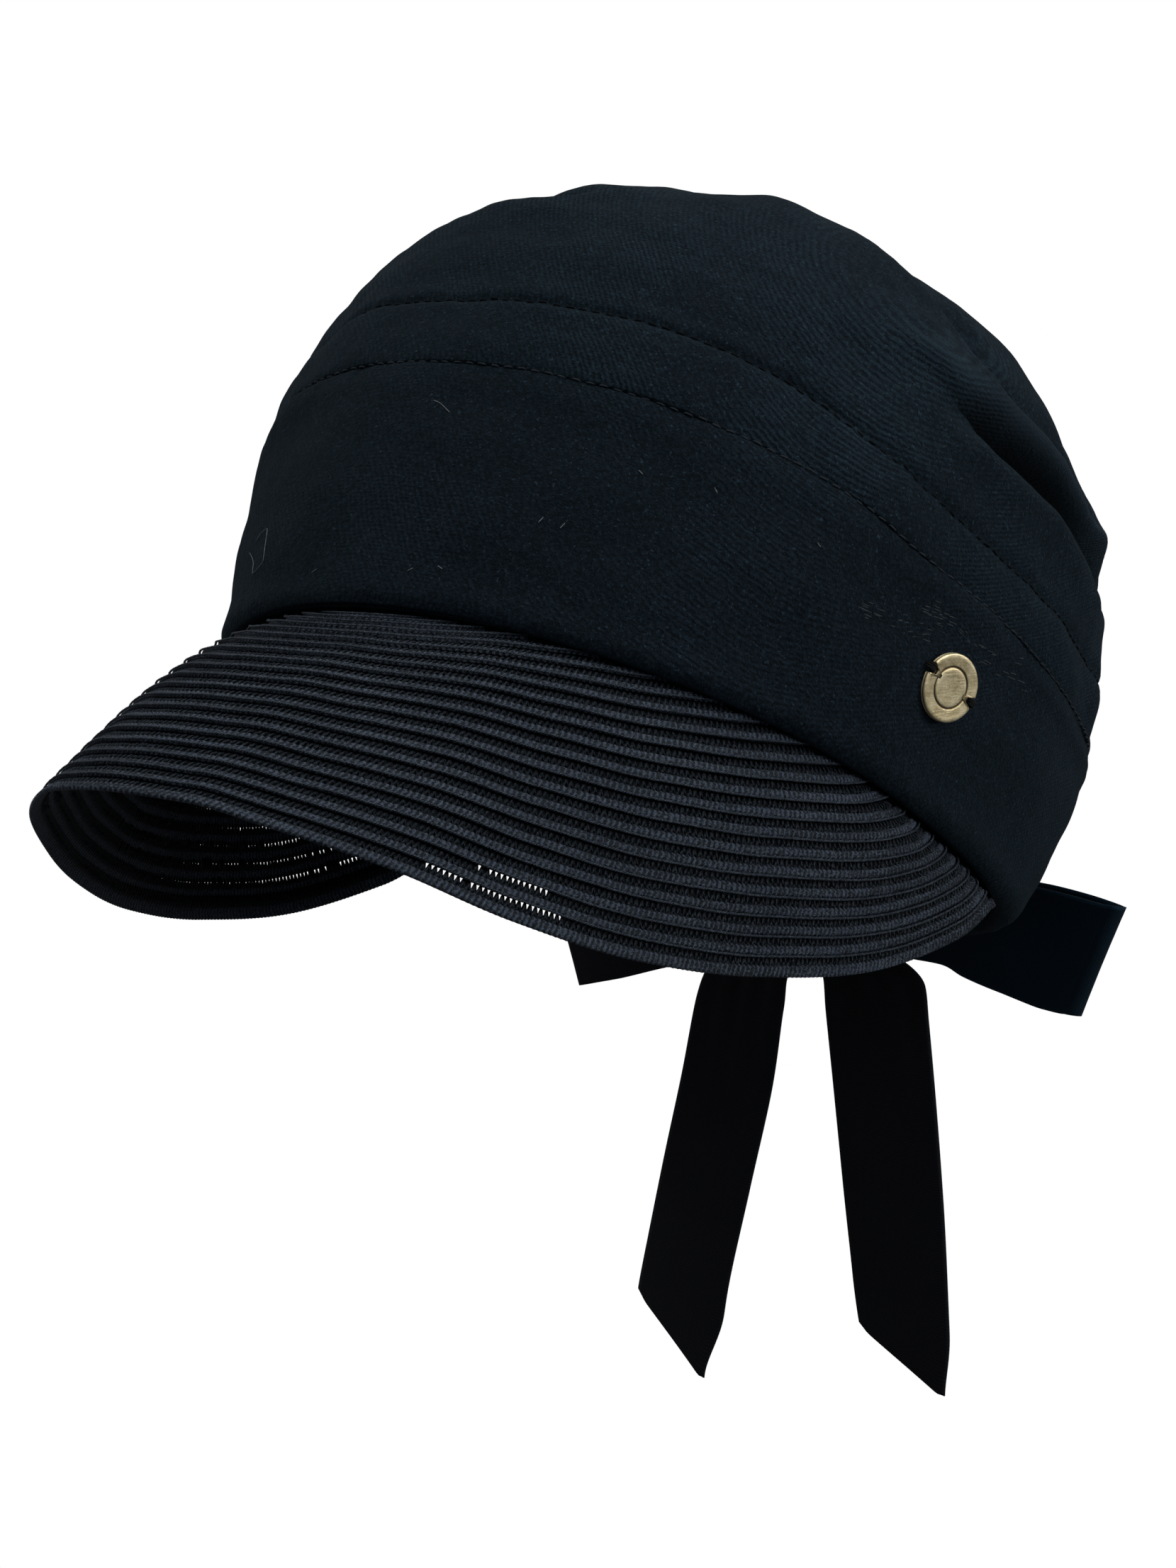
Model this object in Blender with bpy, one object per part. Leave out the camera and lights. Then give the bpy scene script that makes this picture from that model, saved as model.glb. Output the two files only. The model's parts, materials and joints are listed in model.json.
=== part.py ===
"""Soft jockey hat with a sewn-braid peak, a round metal badge and a ribbon bow at the nape.

Frame: +Z up, the hat faces -Y, the wearer's left is +X. The origin is the centre of the head opening,
in the plane of the rim. The rim plane leans back by RIM_TILT, front high, nape low.
Shape numbers are in millimetres and turned into metres where the meshes are made.
"""
import bpy
import numpy as np
from math import radians, cos, sin, pi

for old in list(bpy.data.objects):
    bpy.data.objects.remove(old, do_unlink=True)

# ---------------------------------------------------------------- driving dimensions (mm, degrees)
RIM_TILT = 28.0
CLOTH = 1.5            # crown wall
BAND_WALL = 1.8        # band wall
HEM_WALL = 3.0         # band wall where the hem is turned in
GAP = 0.35             # clearance between neighbouring pieces
PEAK_WALL = 1.8
PEAK_ROWS = 21
RIBBON_W = 30.0
RIBBON_T = 1.0
BADGE_R = 8.0
BADGE_T = 1.3

# meridian of the cloth: t, half width, depth to the front, depth to the back, squareness of the back,
# height at the front, at the side, at the back (all in the rim's own frame)
MERIDIAN = [
    # t,    side, front, back, square, h_front, h_side, h_back
    (0.00,   86,    99,   90,  0.85,      0,      0,      0),
    (0.04,   89,   100.5, 93.5, 0.90,     3,    2.8,    2.5),
    (0.10,   91,   101.5, 96.5, 0.95,    10,      9,      8),
    (0.25,   95,   103,  101,  0.88,     32,     28,     24),
    (0.42,   98,   101,  116,  0.27,     58,     51,     47),
    (0.60,   95,    94,  118, -0.04,     86,     84,     78),
    (0.78,   79,    77,   99, -0.04,    114,    113,    104),
    (0.90,   48,    47,   63,  0.00,    131,    129,    121),
    (1.00,    0,     0,    0,  0.00,    136,    136,    136),
]
# where the two rows of topstitching lie: angle from the front, t of the lower row, t of the upper row
STITCH_LINES = [
    # psi, lower, upper
    (0,   0.437, 0.560),
    (28,  0.440, 0.556),
    (45,  0.437, 0.545),
    (60,  0.428, 0.515),
    (75,  0.402, 0.488),
    (90,  0.396, 0.474),
    (110, 0.384, 0.472),
    (130, 0.400, 0.472),
    (180, 0.400, 0.470),
]
# folds that run round the crown: from angle, t, to angle, t, height out, half width in t, fade in degrees
FOLDS = [
    # psi_a, t_a,  psi_b, t_b,  height, width, fade
    (68,   0.690,  126, 0.700,   1.2,  0.046,  12),    # the big roll over the wearer's left
    (78,   0.612,  126, 0.606,  -8.0,  0.026,  11),    # the recess under it
    (136,  0.700,  226, 0.700,   2.0,  0.050,  14),    # the top sags over the back
    (138,  0.600,  222, 0.604,  -4.5,  0.030,  12),
    (236,  0.700,  290, 0.690,   3.0,  0.045,  14),    # the wearer's right, a milder copy
    (240,  0.612,  286, 0.615,  -5.0,  0.028,  12),
    (-52,  0.770,   -6, 0.850,  -3.0,  0.030,  12),    # groove high on the front right
    (-2,   0.850,   18, 0.860,   1.6,  0.060,  10),    # the top stands up behind that groove
    (26,   0.865,   69, 0.852,   4.2,  0.068,  12),    # lobe over the wearer's left eye
    (73,   0.850,   98, 0.828,   2.3,  0.052,   9),    # lobe behind it, with a dent between the two
]
# gathers that run up from the band: angle, lean per t, from t, to t, height out, half width in degrees
PLEATS = [
    # psi, lean, t_a,  t_b,  height, width
    (118,  20,  0.42, 0.60,   2.0,   4.0),
    (128,  20,  0.41, 0.60,  -2.2,   3.6),
    (137,  15,  0.41, 0.62,   2.4,   4.2),
    (147,  12,  0.41, 0.60,  -2.4,   3.6),
    (157,   8,  0.41, 0.62,   2.2,   4.2),
    (168,   4,  0.41, 0.58,  -2.2,   3.8),
    (179,   0,  0.41, 0.62,   2.4,   4.4),
    (190,  -4,  0.41, 0.58,  -2.0,   3.8),
    (201,  -8,  0.41, 0.62,   2.4,   4.2),
    (212, -12,  0.41, 0.60,  -2.4,   3.6),
    (223, -15,  0.41, 0.62,   2.2,   4.2),
    (233, -20,  0.41, 0.60,  -2.0,   3.6),
    (243, -20,  0.42, 0.60,   1.8,   4.0),
    (150,   0,  0.80, 0.92,  -3.0,   9.0),             # soft valley down the back of the top
]
# outer edge of the peak in the object's frame: angle from the front, height
EDGE_HALF_WIDTH, EDGE_DEPTH, EDGE_BACK = 86.3, 179.7, 4.8
EDGE_HEIGHT = [
    # phi, z
    (0, 14.0), (12, 12.5), (24, 6.3), (36, -2.8), (48, -15.7),
    (60, -26.8), (72, -33.6), (84, -36.5), (96, -33.0), (104, -23.5),
]
# which rim angle each edge angle runs up to
PEAK_FOOT = [
    # phi, psi
    (0, 0), (8, 4), (16, 9), (24, 13.5), (32, 18.5), (40, 24), (48, 31),
    (56, 39.5), (64, 49.5), (72, 60.5), (80, 72), (88, 84), (96, 98), (104, 116),
]
PEAK_END = 102.0
PEAK_BULGE = 3.2       # how far the peak arches out between its two edges
PEAK_SWELL = 5.4       # more of it towards the rim
PEAK_DROP = 0.9        # how far the peak's inner edge lies under the rim plane
BADGE_AT = (84.6, 0.238)
BADGE_TURN = 8.0       # the badge faces this much more to the front than the cloth behind it
BADGE_OFF = 0.55       # and stands off by this much at its middle for it
KNOT = (-5.0, 104.0, -42.0)
# ribbon loops and tails: centre line and half width direction, one row per section
LOOP_LEFT = [
    # x,   y,     z,    wx,    wz,  half, open
    (1,   104.5, -42.0,  0.00, -1.00,  7.0, 1.3),
    (14,  107.0, -42.0, -0.03, -1.00,  9.0, 2.2),
    (30,  107.0, -41.4, -0.12, -0.99, 10.8, 3.0),
    (39,  106.2, -42.2, -0.20, -0.98, 12.7, 3.4),
    (52,  104.6, -43.6, -0.30, -0.95, 14.2, 3.8),
    (68,  102.0, -46.0, -0.38, -0.92, 15.2, 3.4),
    (75,  100.5, -46.8, -0.41, -0.91, 15.2, 2.4),
]
LOOP_RIGHT = [
    (-11, 104.5, -42.0,  0.00, -1.00,  7.0, 1.3),
    (-24, 107.0, -42.5,  0.05, -1.00,  9.2, 2.2),
    (-42, 107.0, -44.8,  0.13, -0.99, 11.6, 3.2),
    (-61, 105.0, -47.2,  0.24, -0.97, 13.4, 3.8),
    (-77, 102.0, -50.2,  0.31, -0.95, 14.8, 3.4),
    (-84, 100.5, -51.6,  0.34, -0.94, 15.0, 2.4),
]
TAIL_LEFT = [
    # x,   y,     z,     wx,    wy,  half
    (6.5,  100.6, -51.5, 1.00,  0.04, 12.5),
    (11.0,  99.9, -57.5, 1.00,  0.06, 15.0),
    (12.4,  99.4, -66.0, 1.00,  0.07, 15.0),
    (15.0,  99.0, -84.0, 1.00,  0.06, 15.0),
    (18.0,  98.6, -108.0, 1.00, 0.03, 15.0),
    (20.6,  98.2, -132.0, 1.00, -0.05, 15.0),
    (22.0,  97.9, -145.0, 1.00, -0.08, 14.4),
]
TAIL_RIGHT = [
    (-20.0, 100.6, -51.5, 1.00, -0.12, 11.0),
    (-27.6,  99.9, -57.5, 0.98, -0.20, 14.2),
    (-30.1,  99.6, -66.0, 0.99, -0.15, 15.0),
    (-33.7,  99.5, -84.0, 0.99, -0.11, 15.0),
    (-39.9,  99.3, -108.0, 0.99, -0.14, 15.0),
    (-46.0,  99.0, -132.0, 0.98, -0.19, 15.0),
    (-48.8,  98.8, -145.5, 0.98, -0.19, 15.0),
]
TAIL_SLANT = (15.5, 18.5)  # how much longer each tail is on its longer side: left, right

# ---------------------------------------------------------------- shape functions


def smooth(xs, ys, x):
    """Monotone cubic through a short table."""
    xs, ys, x = np.asarray(xs, float), np.asarray(ys, float), np.asarray(x, float)
    h = np.diff(xs)
    d = np.diff(ys) / h
    m = np.zeros(len(xs))
    for i in range(1, len(xs) - 1):
        if d[i - 1] * d[i] > 0:
            w1, w2 = 2 * h[i] + h[i - 1], h[i] + 2 * h[i - 1]
            m[i] = (w1 + w2) / (w1 / d[i - 1] + w2 / d[i])
    m[0] = ((2 * h[0] + h[1]) * d[0] - h[0] * d[1]) / (h[0] + h[1])
    m[-1] = ((2 * h[-1] + h[-2]) * d[-1] - h[-1] * d[-2]) / (h[-1] + h[-2])
    for k, e in ((0, 0), (-1, -1)):
        if m[k] * d[e] <= 0:
            m[k] = 0.0
        elif abs(m[k]) > 3 * abs(d[e]):
            m[k] = 3 * d[e]
    x = np.clip(x, xs[0], xs[-1])
    i = np.clip(np.searchsorted(xs, x, side="right") - 1, 0, len(xs) - 2)
    s = (x - xs[i]) / h[i]
    return (ys[i] * (1 + 2 * s) * (1 - s) ** 2 + m[i] * h[i] * s * (1 - s) ** 2
            + ys[i + 1] * s * s * (3 - 2 * s) + m[i + 1] * h[i] * s * s * (s - 1))


def column(table, k):
    return [row[k] for row in table]


def step(a, b, x):
    s = np.clip((np.asarray(x, float) - a) / (b - a), 0, 1)
    return s * s * (3 - 2 * s)


def out_of_rim(p):
    """Rim frame (across, back, up from the rim plane) to the object's frame."""
    p = np.asarray(p, float)
    c, s = cos(radians(RIM_TILT)), sin(radians(RIM_TILT))
    return np.stack([p[..., 0], p[..., 1] * c + p[..., 2] * s, -p[..., 1] * s + p[..., 2] * c], -1)


def cloth_base(psi, t):
    psi, t = np.broadcast_arrays(np.asarray(psi, float), np.asarray(t, float))
    T = column(MERIDIAN, 0)
    w, f, b, k, hf, hs, hb = (smooth(T, column(MERIDIAN, i), t) for i in range(1, 8))
    c, s = np.cos(np.radians(psi)), np.sin(np.radians(psi))
    back = np.clip(-c, 0, 1)
    q = np.where(c > 0, -f * c, b * back * (1 + k * (1 - back)))
    h = hs * s * s + np.where(c > 0, hf, hb) * c * c
    return out_of_rim(np.stack([w * s, q, h], -1))


def cloth_normal(psi, t):
    t = np.clip(np.asarray(t, float), 0.002, 0.985)
    du = cloth_base(np.asarray(psi, float) + 0.5, t) - cloth_base(np.asarray(psi, float) - 0.5, t)
    dv = cloth_base(psi, t + 0.002) - cloth_base(psi, t - 0.002)
    n = np.cross(du, dv)
    return n / np.linalg.norm(n, axis=-1)[..., None]


def wrap(a):
    return (np.asarray(a, float) + 180.0) % 360.0 - 180.0


def fold_height(psi, t):
    """How far the folds and gathers push the top out (+) or in (-)."""
    psi, t = np.broadcast_arrays(np.asarray(psi, float), np.asarray(t, float))
    d = np.zeros(psi.shape)
    for a, ta, b, tb, height, width, fade in FOLDS:
        mid = 0.5 * (a + b)
        x = mid + wrap(psi - mid)
        tc = ta + (tb - ta) * np.clip((x - a) / (b - a), 0, 1)
        d += height * np.exp(-((t - tc) / width) ** 2) * step(a - fade, a + fade, x) * (1 - step(b - fade, b + fade, x))
    for centre, lean, ta, tb, height, width in PLEATS:
        x = wrap(psi - centre - lean * (t - ta))
        d += height * np.exp(-(x / width) ** 2) * step(ta - 0.03, ta + 0.05, t) * (1 - step(tb - 0.06, tb + 0.06, t))
    return d


def cloth(psi, t, inset=0.0, folds=True):
    d = (fold_height(psi, t) if folds else 0.0) - inset
    d = np.broadcast_to(d, np.broadcast(np.asarray(psi), np.asarray(t)).shape)
    return cloth_base(psi, t) + cloth_normal(psi, t) * d[..., None]


def line_t(psi, which):
    return smooth(column(STITCH_LINES, 0), column(STITCH_LINES, which), np.abs(wrap(psi)))


def edge(phi):
    a = np.abs(phi)
    z = smooth(column(EDGE_HEIGHT, 0), column(EDGE_HEIGHT, 1), a)
    r = np.radians(phi)
    return np.stack([EDGE_HALF_WIDTH * np.sin(r), EDGE_BACK - EDGE_DEPTH * np.cos(r), z], -1)


def peak(phi, f, inset=0.0):
    """Point of the peak: phi along the outer edge, f from the edge (0) to the rim (1)."""
    phi, f = np.broadcast_arrays(np.asarray(phi, float), np.asarray(f, float))
    foot = smooth(column(PEAK_FOOT, 0), column(PEAK_FOOT, 1), np.abs(phi)) * np.where(phi < 0, -1.0, 1.0)
    up = out_of_rim(np.array([0.0, 0.0, 1.0]))
    E = edge(phi)
    R = cloth_base(foot, np.zeros_like(phi)) - up * PEAK_DROP
    D = R - E
    size = np.linalg.norm(D, axis=-1)
    # normal of the ruled sheet at this place
    n = np.cross((1 - f)[..., None] * (edge(phi + 0.5) - edge(phi - 0.5)) + f[..., None] * rim_step(phi), D)
    n /= np.linalg.norm(n, axis=-1)[..., None]
    push = 4 * f * (1 - f) * (PEAK_BULGE + PEAK_SWELL * f) * np.minimum(1, size / 60) - inset
    return E + D * f[..., None] + n * push[..., None]


def rim_step(phi):
    a, b = np.clip(phi - 0.5, -PEAK_END, PEAK_END), np.clip(phi + 0.5, -PEAK_END, PEAK_END)
    fa = smooth(column(PEAK_FOOT, 0), column(PEAK_FOOT, 1), np.abs(a)) * np.where(a < 0, -1.0, 1.0)
    fb = smooth(column(PEAK_FOOT, 0), column(PEAK_FOOT, 1), np.abs(b)) * np.where(b < 0, -1.0, 1.0)
    return cloth_base(fb, np.zeros_like(b)) - cloth_base(fa, np.zeros_like(a))


# ---------------------------------------------------------------- mesh helpers


def material(name, colour, rough, metal=0.0):
    m = bpy.data.materials.new(name)
    m.use_nodes = True
    b = m.node_tree.nodes["Principled BSDF"]
    b.inputs["Base Color"].default_value = (*colour, 1.0)
    b.inputs["Roughness"].default_value = rough
    b.inputs["Metallic"].default_value = metal
    m.diffuse_color = (*colour, 1.0)
    return m


def body(name, verts, faces, mat, smooth_shade=True):
    me = bpy.data.meshes.new(name)
    me.from_pydata([tuple(v) for v in np.asarray(verts, float) * 0.001], [], [tuple(int(i) for i in f) for f in faces])
    me.validate()
    me.update()
    ob = bpy.data.objects.new(name, me)
    bpy.context.scene.collection.objects.link(ob)
    me.materials.append(mat)
    for p in me.polygons:
        p.use_smooth = smooth_shade
    # face outwards
    vol = 0.0
    co = np.array([v.co[:] for v in me.vertices])
    for p in me.polygons:
        v = co[list(p.vertices)]
        for i in range(1, len(v) - 1):
            vol += np.dot(v[0], np.cross(v[i], v[i + 1]))
    if vol < 0:
        me.flip_normals()
    return ob


def grid_faces(rows, cols, at, closed):
    """Quads of a rows x cols grid whose first vertex is number `at`."""
    out = []
    for r in range(rows - 1):
        for c in range(cols if closed else cols - 1):
            a, b = at + r * cols + c, at + r * cols + (c + 1) % cols
            out.append((a, b, b + cols, a + cols))
    return out


def sheet_body(name, outer, inner, mat):
    """Closed body between two open grids of the same size."""
    R, C = outer.shape[:2]
    n = R * C
    verts = np.concatenate([outer.reshape(-1, 3), inner.reshape(-1, 3)])
    faces = grid_faces(R, C, 0, False) + [f[::-1] for f in grid_faces(R, C, n, False)]
    ring = ([(0, c) for c in range(C)] + [(r, C - 1) for r in range(1, R)]
            + [(R - 1, c) for c in range(C - 2, -1, -1)] + [(r, 0) for r in range(R - 2, 0, -1)])
    for (r0, c0), (r1, c1) in zip(ring, ring[1:] + ring[:1]):
        a, b = r0 * C + c0, r1 * C + c1
        faces.append((b, a, a + n, b + n))
    return body(name, verts, faces, mat)


# ---------------------------------------------------------------- materials
NAVY = material("navy_rib_knit", (0.012, 0.019, 0.028), 0.85)
NAVY_TOP = material("navy_rib_knit_top", (0.015, 0.023, 0.032), 0.85)
BRAID = material("navy_sewn_braid", (0.018, 0.024, 0.034), 0.60)
RIBBON = material("black_ribbon", (0.005, 0.006, 0.009), 0.70)
BRASS = material("aged_brass", (0.40, 0.33, 0.18), 0.38, 1.0)
THREAD = material("black_thread", (0.004, 0.004, 0.005), 0.70)

# ---------------------------------------------------------------- head band
COLS = 70
PSI = np.arange(COLS) * 360.0 / COLS
lower = line_t(PSI, 1)
rows = [0.0, 0.045, 0.12, 0.27, 0.46, 0.72, 1.0]
outer, inner = [], []
for r in rows:
    t = lower * r
    wall = HEM_WALL + (BAND_WALL - HEM_WALL) * step(0.18, 0.34, r)
    outer.append(cloth(PSI, t, 0.0, folds=False))
    inner.append(cloth(PSI, t, wall, folds=False))
# the edge that meets the top stops short of the seam
back_off = 0.5 * GAP / 1.0
up = out_of_rim(np.array([0.0, 0.0, 1.0]))
outer[-1] = outer[-1] - (cloth(PSI, lower + 0.004, 0, False) - outer[-1]) * (back_off / np.linalg.norm(cloth(PSI, lower + 0.004, 0, False) - outer[-1], axis=-1))[..., None]
inner[-1] = inner[-1] - (cloth(PSI, lower + 0.004, BAND_WALL, False) - inner[-1]) * (back_off / np.linalg.norm(cloth(PSI, lower + 0.004, BAND_WALL, False) - inner[-1], axis=-1))[..., None]
outer[0] = outer[0] + (inner[0] - outer[0]) * 0.25
outer[0] = outer[0] + up * 0.3
n = len(rows) * COLS
verts = np.concatenate([np.array(outer).reshape(-1, 3), np.array(inner).reshape(-1, 3)])
faces = grid_faces(len(rows), COLS, 0, True) + [f[::-1] for f in grid_faces(len(rows), COLS, n, True)]
for base, flip in ((0, False), ((len(rows) - 1) * COLS, True)):
    for c in range(COLS):
        a, b = base + c, base + (c + 1) % COLS
        q = (a, a + n, b + n, b)
        faces.append(q[::-1] if flip else q)
body("head_band", verts, faces, NAVY)

# ---------------------------------------------------------------- crown top
rows = [0.0, 0.07, 0.14, 0.22, 0.29, 0.35, 0.41, 0.48, 0.56, 0.65, 0.75, 0.85, 0.94]
outer, inner = [], []
for i, r in enumerate(rows):
    t = lower + (1 - lower) * r
    outer.append(cloth(PSI, t, 0.0))
    inner.append(cloth(PSI, t, CLOTH))
for lot, wall in ((outer, 0.0), (inner, CLOTH)):
    d = cloth(PSI, lower + 0.004, wall) - lot[0]
    lot[0] = lot[0] + d * (0.5 * GAP / np.linalg.norm(d, axis=-1))[..., None]
verts = np.concatenate([np.array(outer).reshape(-1, 3), np.array(inner).reshape(-1, 3)])
n = len(rows) * COLS
pole = cloth_base(np.array([0.0]), np.array([1.0]))[0]
pole_n = out_of_rim(np.array([0.0, 0.0, 1.0]))
verts = np.concatenate([verts, [pole - pole_n * 0.2, pole - pole_n * (CLOTH + 0.2)]])
faces = grid_faces(len(rows), COLS, 0, True) + [f[::-1] for f in grid_faces(len(rows), COLS, n, True)]
for c in range(COLS):
    a, b = c, (c + 1) % COLS
    faces.append((a, a + n, b + n, b))
    a, b = (len(rows) - 1) * COLS + c, (len(rows) - 1) * COLS + (c + 1) % COLS
    faces.append((a, b, 2 * n))
    faces.append((b + n, a + n, 2 * n + 1))
body("crown_top", verts, faces, NAVY_TOP)

# ---------------------------------------------------------------- peak
phi = np.concatenate([-np.array([PEAK_END, 99.5, 96.5, 93, 89])[:], np.linspace(-84, 84, 43), np.array([89, 93, 96.5, 99.5, PEAK_END])])
f = np.array([0.0, 0.03, 0.17, 0.34, 0.52, 0.70, 0.86, 1.0])
P, F = np.meshgrid(phi, f)
out = peak(P, F, 0.0)
inn = peak(P, F, PEAK_WALL)
inn[0] += (out[1] - out[0]) * 0.12
out[0] += (out[1] - out[0]) * 0.12
sheet_body("peak", out, inn, BRAID)

# ---------------------------------------------------------------- badge
bc = cloth(np.array([BADGE_AT[0]]), np.array([BADGE_AT[1]]), folds=False)[0]
bn = cloth_normal(np.array([BADGE_AT[0]]), np.array([BADGE_AT[1]]))[0]
bc = bc + bn * BADGE_OFF
ct, st = cos(radians(BADGE_TURN)), sin(radians(BADGE_TURN))
bn = np.array([bn[0] * ct + bn[1] * st, bn[1] * ct - bn[0] * st, bn[2]])
bu = np.array([0.0, 0.0, 1.0]) - bn * bn[2]
bu /= np.linalg.norm(bu)
br = np.cross(bu, bn)


def badge_point(x, y, z):
    """x to the right and y up on the badge's face, z out of it."""
    return bc + br * x + bu * y + bn * z


NOTCH = (139.0, -31.0)     # directions of the two notches on the face
NOTCH_HALF = 9.5           # half width of a notch in degrees
NOTCH_DEPTH = 2.1


def badge_ring(radius, z):
    out = []
    for k in range(60):
        a = k * 6.0
        r = radius
        for c in NOTCH:
            if abs(wrap(a - c)) < NOTCH_HALF:
                r = min(r, BADGE_R - NOTCH_DEPTH)
        out.append(badge_point(r * cos(radians(a)), r * sin(radians(a)), z))
    return out


LOW = 0.75                 # the cloth curves away under the badge
SECTION = [
    # radius, height
    (BADGE_R - 0.35, LOW), (BADGE_R, LOW + 0.30), (BADGE_R, LOW + BADGE_T - 0.35), (BADGE_R - 0.35, LOW + BADGE_T),
    (5.75, LOW + BADGE_T - 0.05), (5.45, LOW + BADGE_T - 0.35), (5.05, LOW + BADGE_T - 0.35), (4.75, LOW + BADGE_T - 0.08),
]
verts = []
for r, z in SECTION:
    verts += badge_ring(r, z)
verts += [badge_point(0, 0, LOW + BADGE_T - 0.10), badge_point(0, 0, LOW)]
faces = grid_faces(len(SECTION), 60, 0, True)
top, low = (len(SECTION) - 1) * 60, 0
for k in range(60):
    faces.append((top + k, top + (k + 1) % 60, len(verts) - 2))
    faces.append((low + (k + 1) % 60, low + k, len(verts) - 1))
body("badge", verts, faces, BRASS)


def tube(name, path, radius, mat, sides=6):
    path = np.asarray(path, float)
    tang = np.gradient(path, axis=0)
    tang /= np.linalg.norm(tang, axis=1)[:, None]
    side = np.cross(tang[0], bn)
    verts = []
    for p, t in zip(path, tang):
        side = side - t * np.dot(side, t)
        side /= np.linalg.norm(side)
        other = np.cross(t, side)
        verts += [p + radius * (side * cos(2 * pi * k / sides) + other * sin(2 * pi * k / sides)) for k in range(sides)]
    n = len(path)
    faces = grid_faces(n, sides, 0, True) + [tuple(range(sides))[::-1], tuple((n - 1) * sides + k for k in range(sides))]
    return body(name, verts, faces, mat)


for name, a, foot in (("badge_thread_upper", NOTCH[0], 0.55), ("badge_thread_lower", NOTCH[1], -1.1)):
    ca, sa = cos(radians(a)), sin(radians(a))
    path = [badge_point(r * ca, r * sa, z) for r, z in
            ((7.0, 0.62), (7.0, 1.2), (7.05, 1.9), (7.4, 2.35), (8.0, 2.45), (8.6, 2.2), (8.95, 1.6), (9.0, 1.0), (9.0, foot))]
    tube(name, path, 0.42, THREAD)

# ---------------------------------------------------------------- bow


def unit(v):
    v = np.asarray(v, float)
    return v / np.linalg.norm(v, axis=-1)[..., None]


def finer(table, count):
    """More rows between those of a table, smooth in every column."""
    s = np.linspace(0, len(table) - 1, count)
    x = np.arange(len(table))
    return np.stack([smooth(x, column(table, k), s) for k in range(len(table[0]))], -1)


def loop(name, table, mat):
    """A ribbon that runs out, turns back on itself and returns: front and rear layer joined at the end."""
    rows = finer(table, 11)
    w = unit(np.stack([rows[:, 3], np.zeros(len(rows)), rows[:, 4]], -1))
    mid = rows[:, :3]
    tang = unit(np.gradient(mid, axis=0))
    out_dir = unit(np.cross(tang, w))
    path, width = [], []
    for i in range(len(rows)):
        path.append(mid[i] + out_dir[i] * rows[i, 6])
        width.append(w[i] * rows[i, 5])
    end, e_out, e_t, r = mid[-1], out_dir[-1], tang[-1], rows[-1, 6]
    for a in (60, 30, 0, -30, -60):
        path.append(end + e_out * r * sin(radians(a)) + e_t * r * cos(radians(a)))
        width.append(w[-1] * rows[-1, 5])
    for i in range(len(rows) - 1, -1, -1):
        path.append(mid[i] - out_dir[i] * rows[i, 6])
        width.append(w[i] * rows[i, 5])
    path, width = np.array(path), np.array(width)
    t = unit(np.gradient(path, axis=0))
    n = unit(np.cross(t, unit(width)))
    across = np.linspace(-1, 1, 4)
    outer = path[:, None] + width[:, None] * across[None, :, None] + n[:, None] * (0.5 * RIBBON_T)
    inner = path[:, None] + width[:, None] * across[None, :, None] - n[:, None] * (0.5 * RIBBON_T)
    return sheet_body(name, outer, inner, mat)


def tail(name, table, mat, slant):
    rows = finer(table, 13)
    mid = rows[:, :3].copy()
    w = unit(np.stack([rows[:, 3], rows[:, 4], np.zeros(len(rows))], -1))
    across = np.linspace(-1, 1, 5)
    grid = mid[:, None] + w[:, None] * (rows[:, 5][:, None] * across[None])[..., None]
    # the slanted cut: the last rows reach lower on one side
    share = np.linspace(0, 1, len(rows)) ** 3
    cut = (1 + across) * 0.5
    drop = share[:, None] * cut[None] * slant
    grid = grid + np.array([0.0, 0.0, -1.0]) * drop[..., None]
    t = unit(np.gradient(mid, axis=0))
    n = unit(np.cross(t, w))
    return sheet_body(name, grid + n[:, None] * (0.5 * RIBBON_T), grid - n[:, None] * (0.5 * RIBBON_T), mat)


loop("bow_loop_left", LOOP_LEFT, RIBBON)
loop("bow_loop_right", LOOP_RIGHT, RIBBON)
tail("bow_tail_left", TAIL_LEFT, RIBBON, TAIL_SLANT[0])
tail("bow_tail_right", TAIL_RIGHT, RIBBON, TAIL_SLANT[1])

# knot: a rounded wrap across the middle, in front of nothing, between the two loops
KNOT_W, KNOT_H, KNOT_D = 10.0, 17.0, 9.0
cols, rows = 14, 9
verts = []
for j in range(rows):
    v = -1 + 2 * j / (rows - 1)
    pinch = 0.86 + 0.14 * abs(v)
    for i in range(cols):
        a = 2 * pi * i / cols
        x = np.sign(cos(a)) * abs(cos(a)) ** 0.6 * KNOT_W * 0.5 * pinch
        y = np.sign(sin(a)) * abs(sin(a)) ** 0.6 * KNOT_D * 0.5 * (1.0 - 0.25 * abs(v) ** 3)
        verts.append((KNOT[0] + x, KNOT[1] + y, KNOT[2] + v * KNOT_H * 0.5))
faces = grid_faces(rows, cols, 0, True) + [tuple(range(cols))[::-1], tuple((rows - 1) * cols + k for k in range(cols))]
body("bow_knot", verts, faces, RIBBON)
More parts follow.
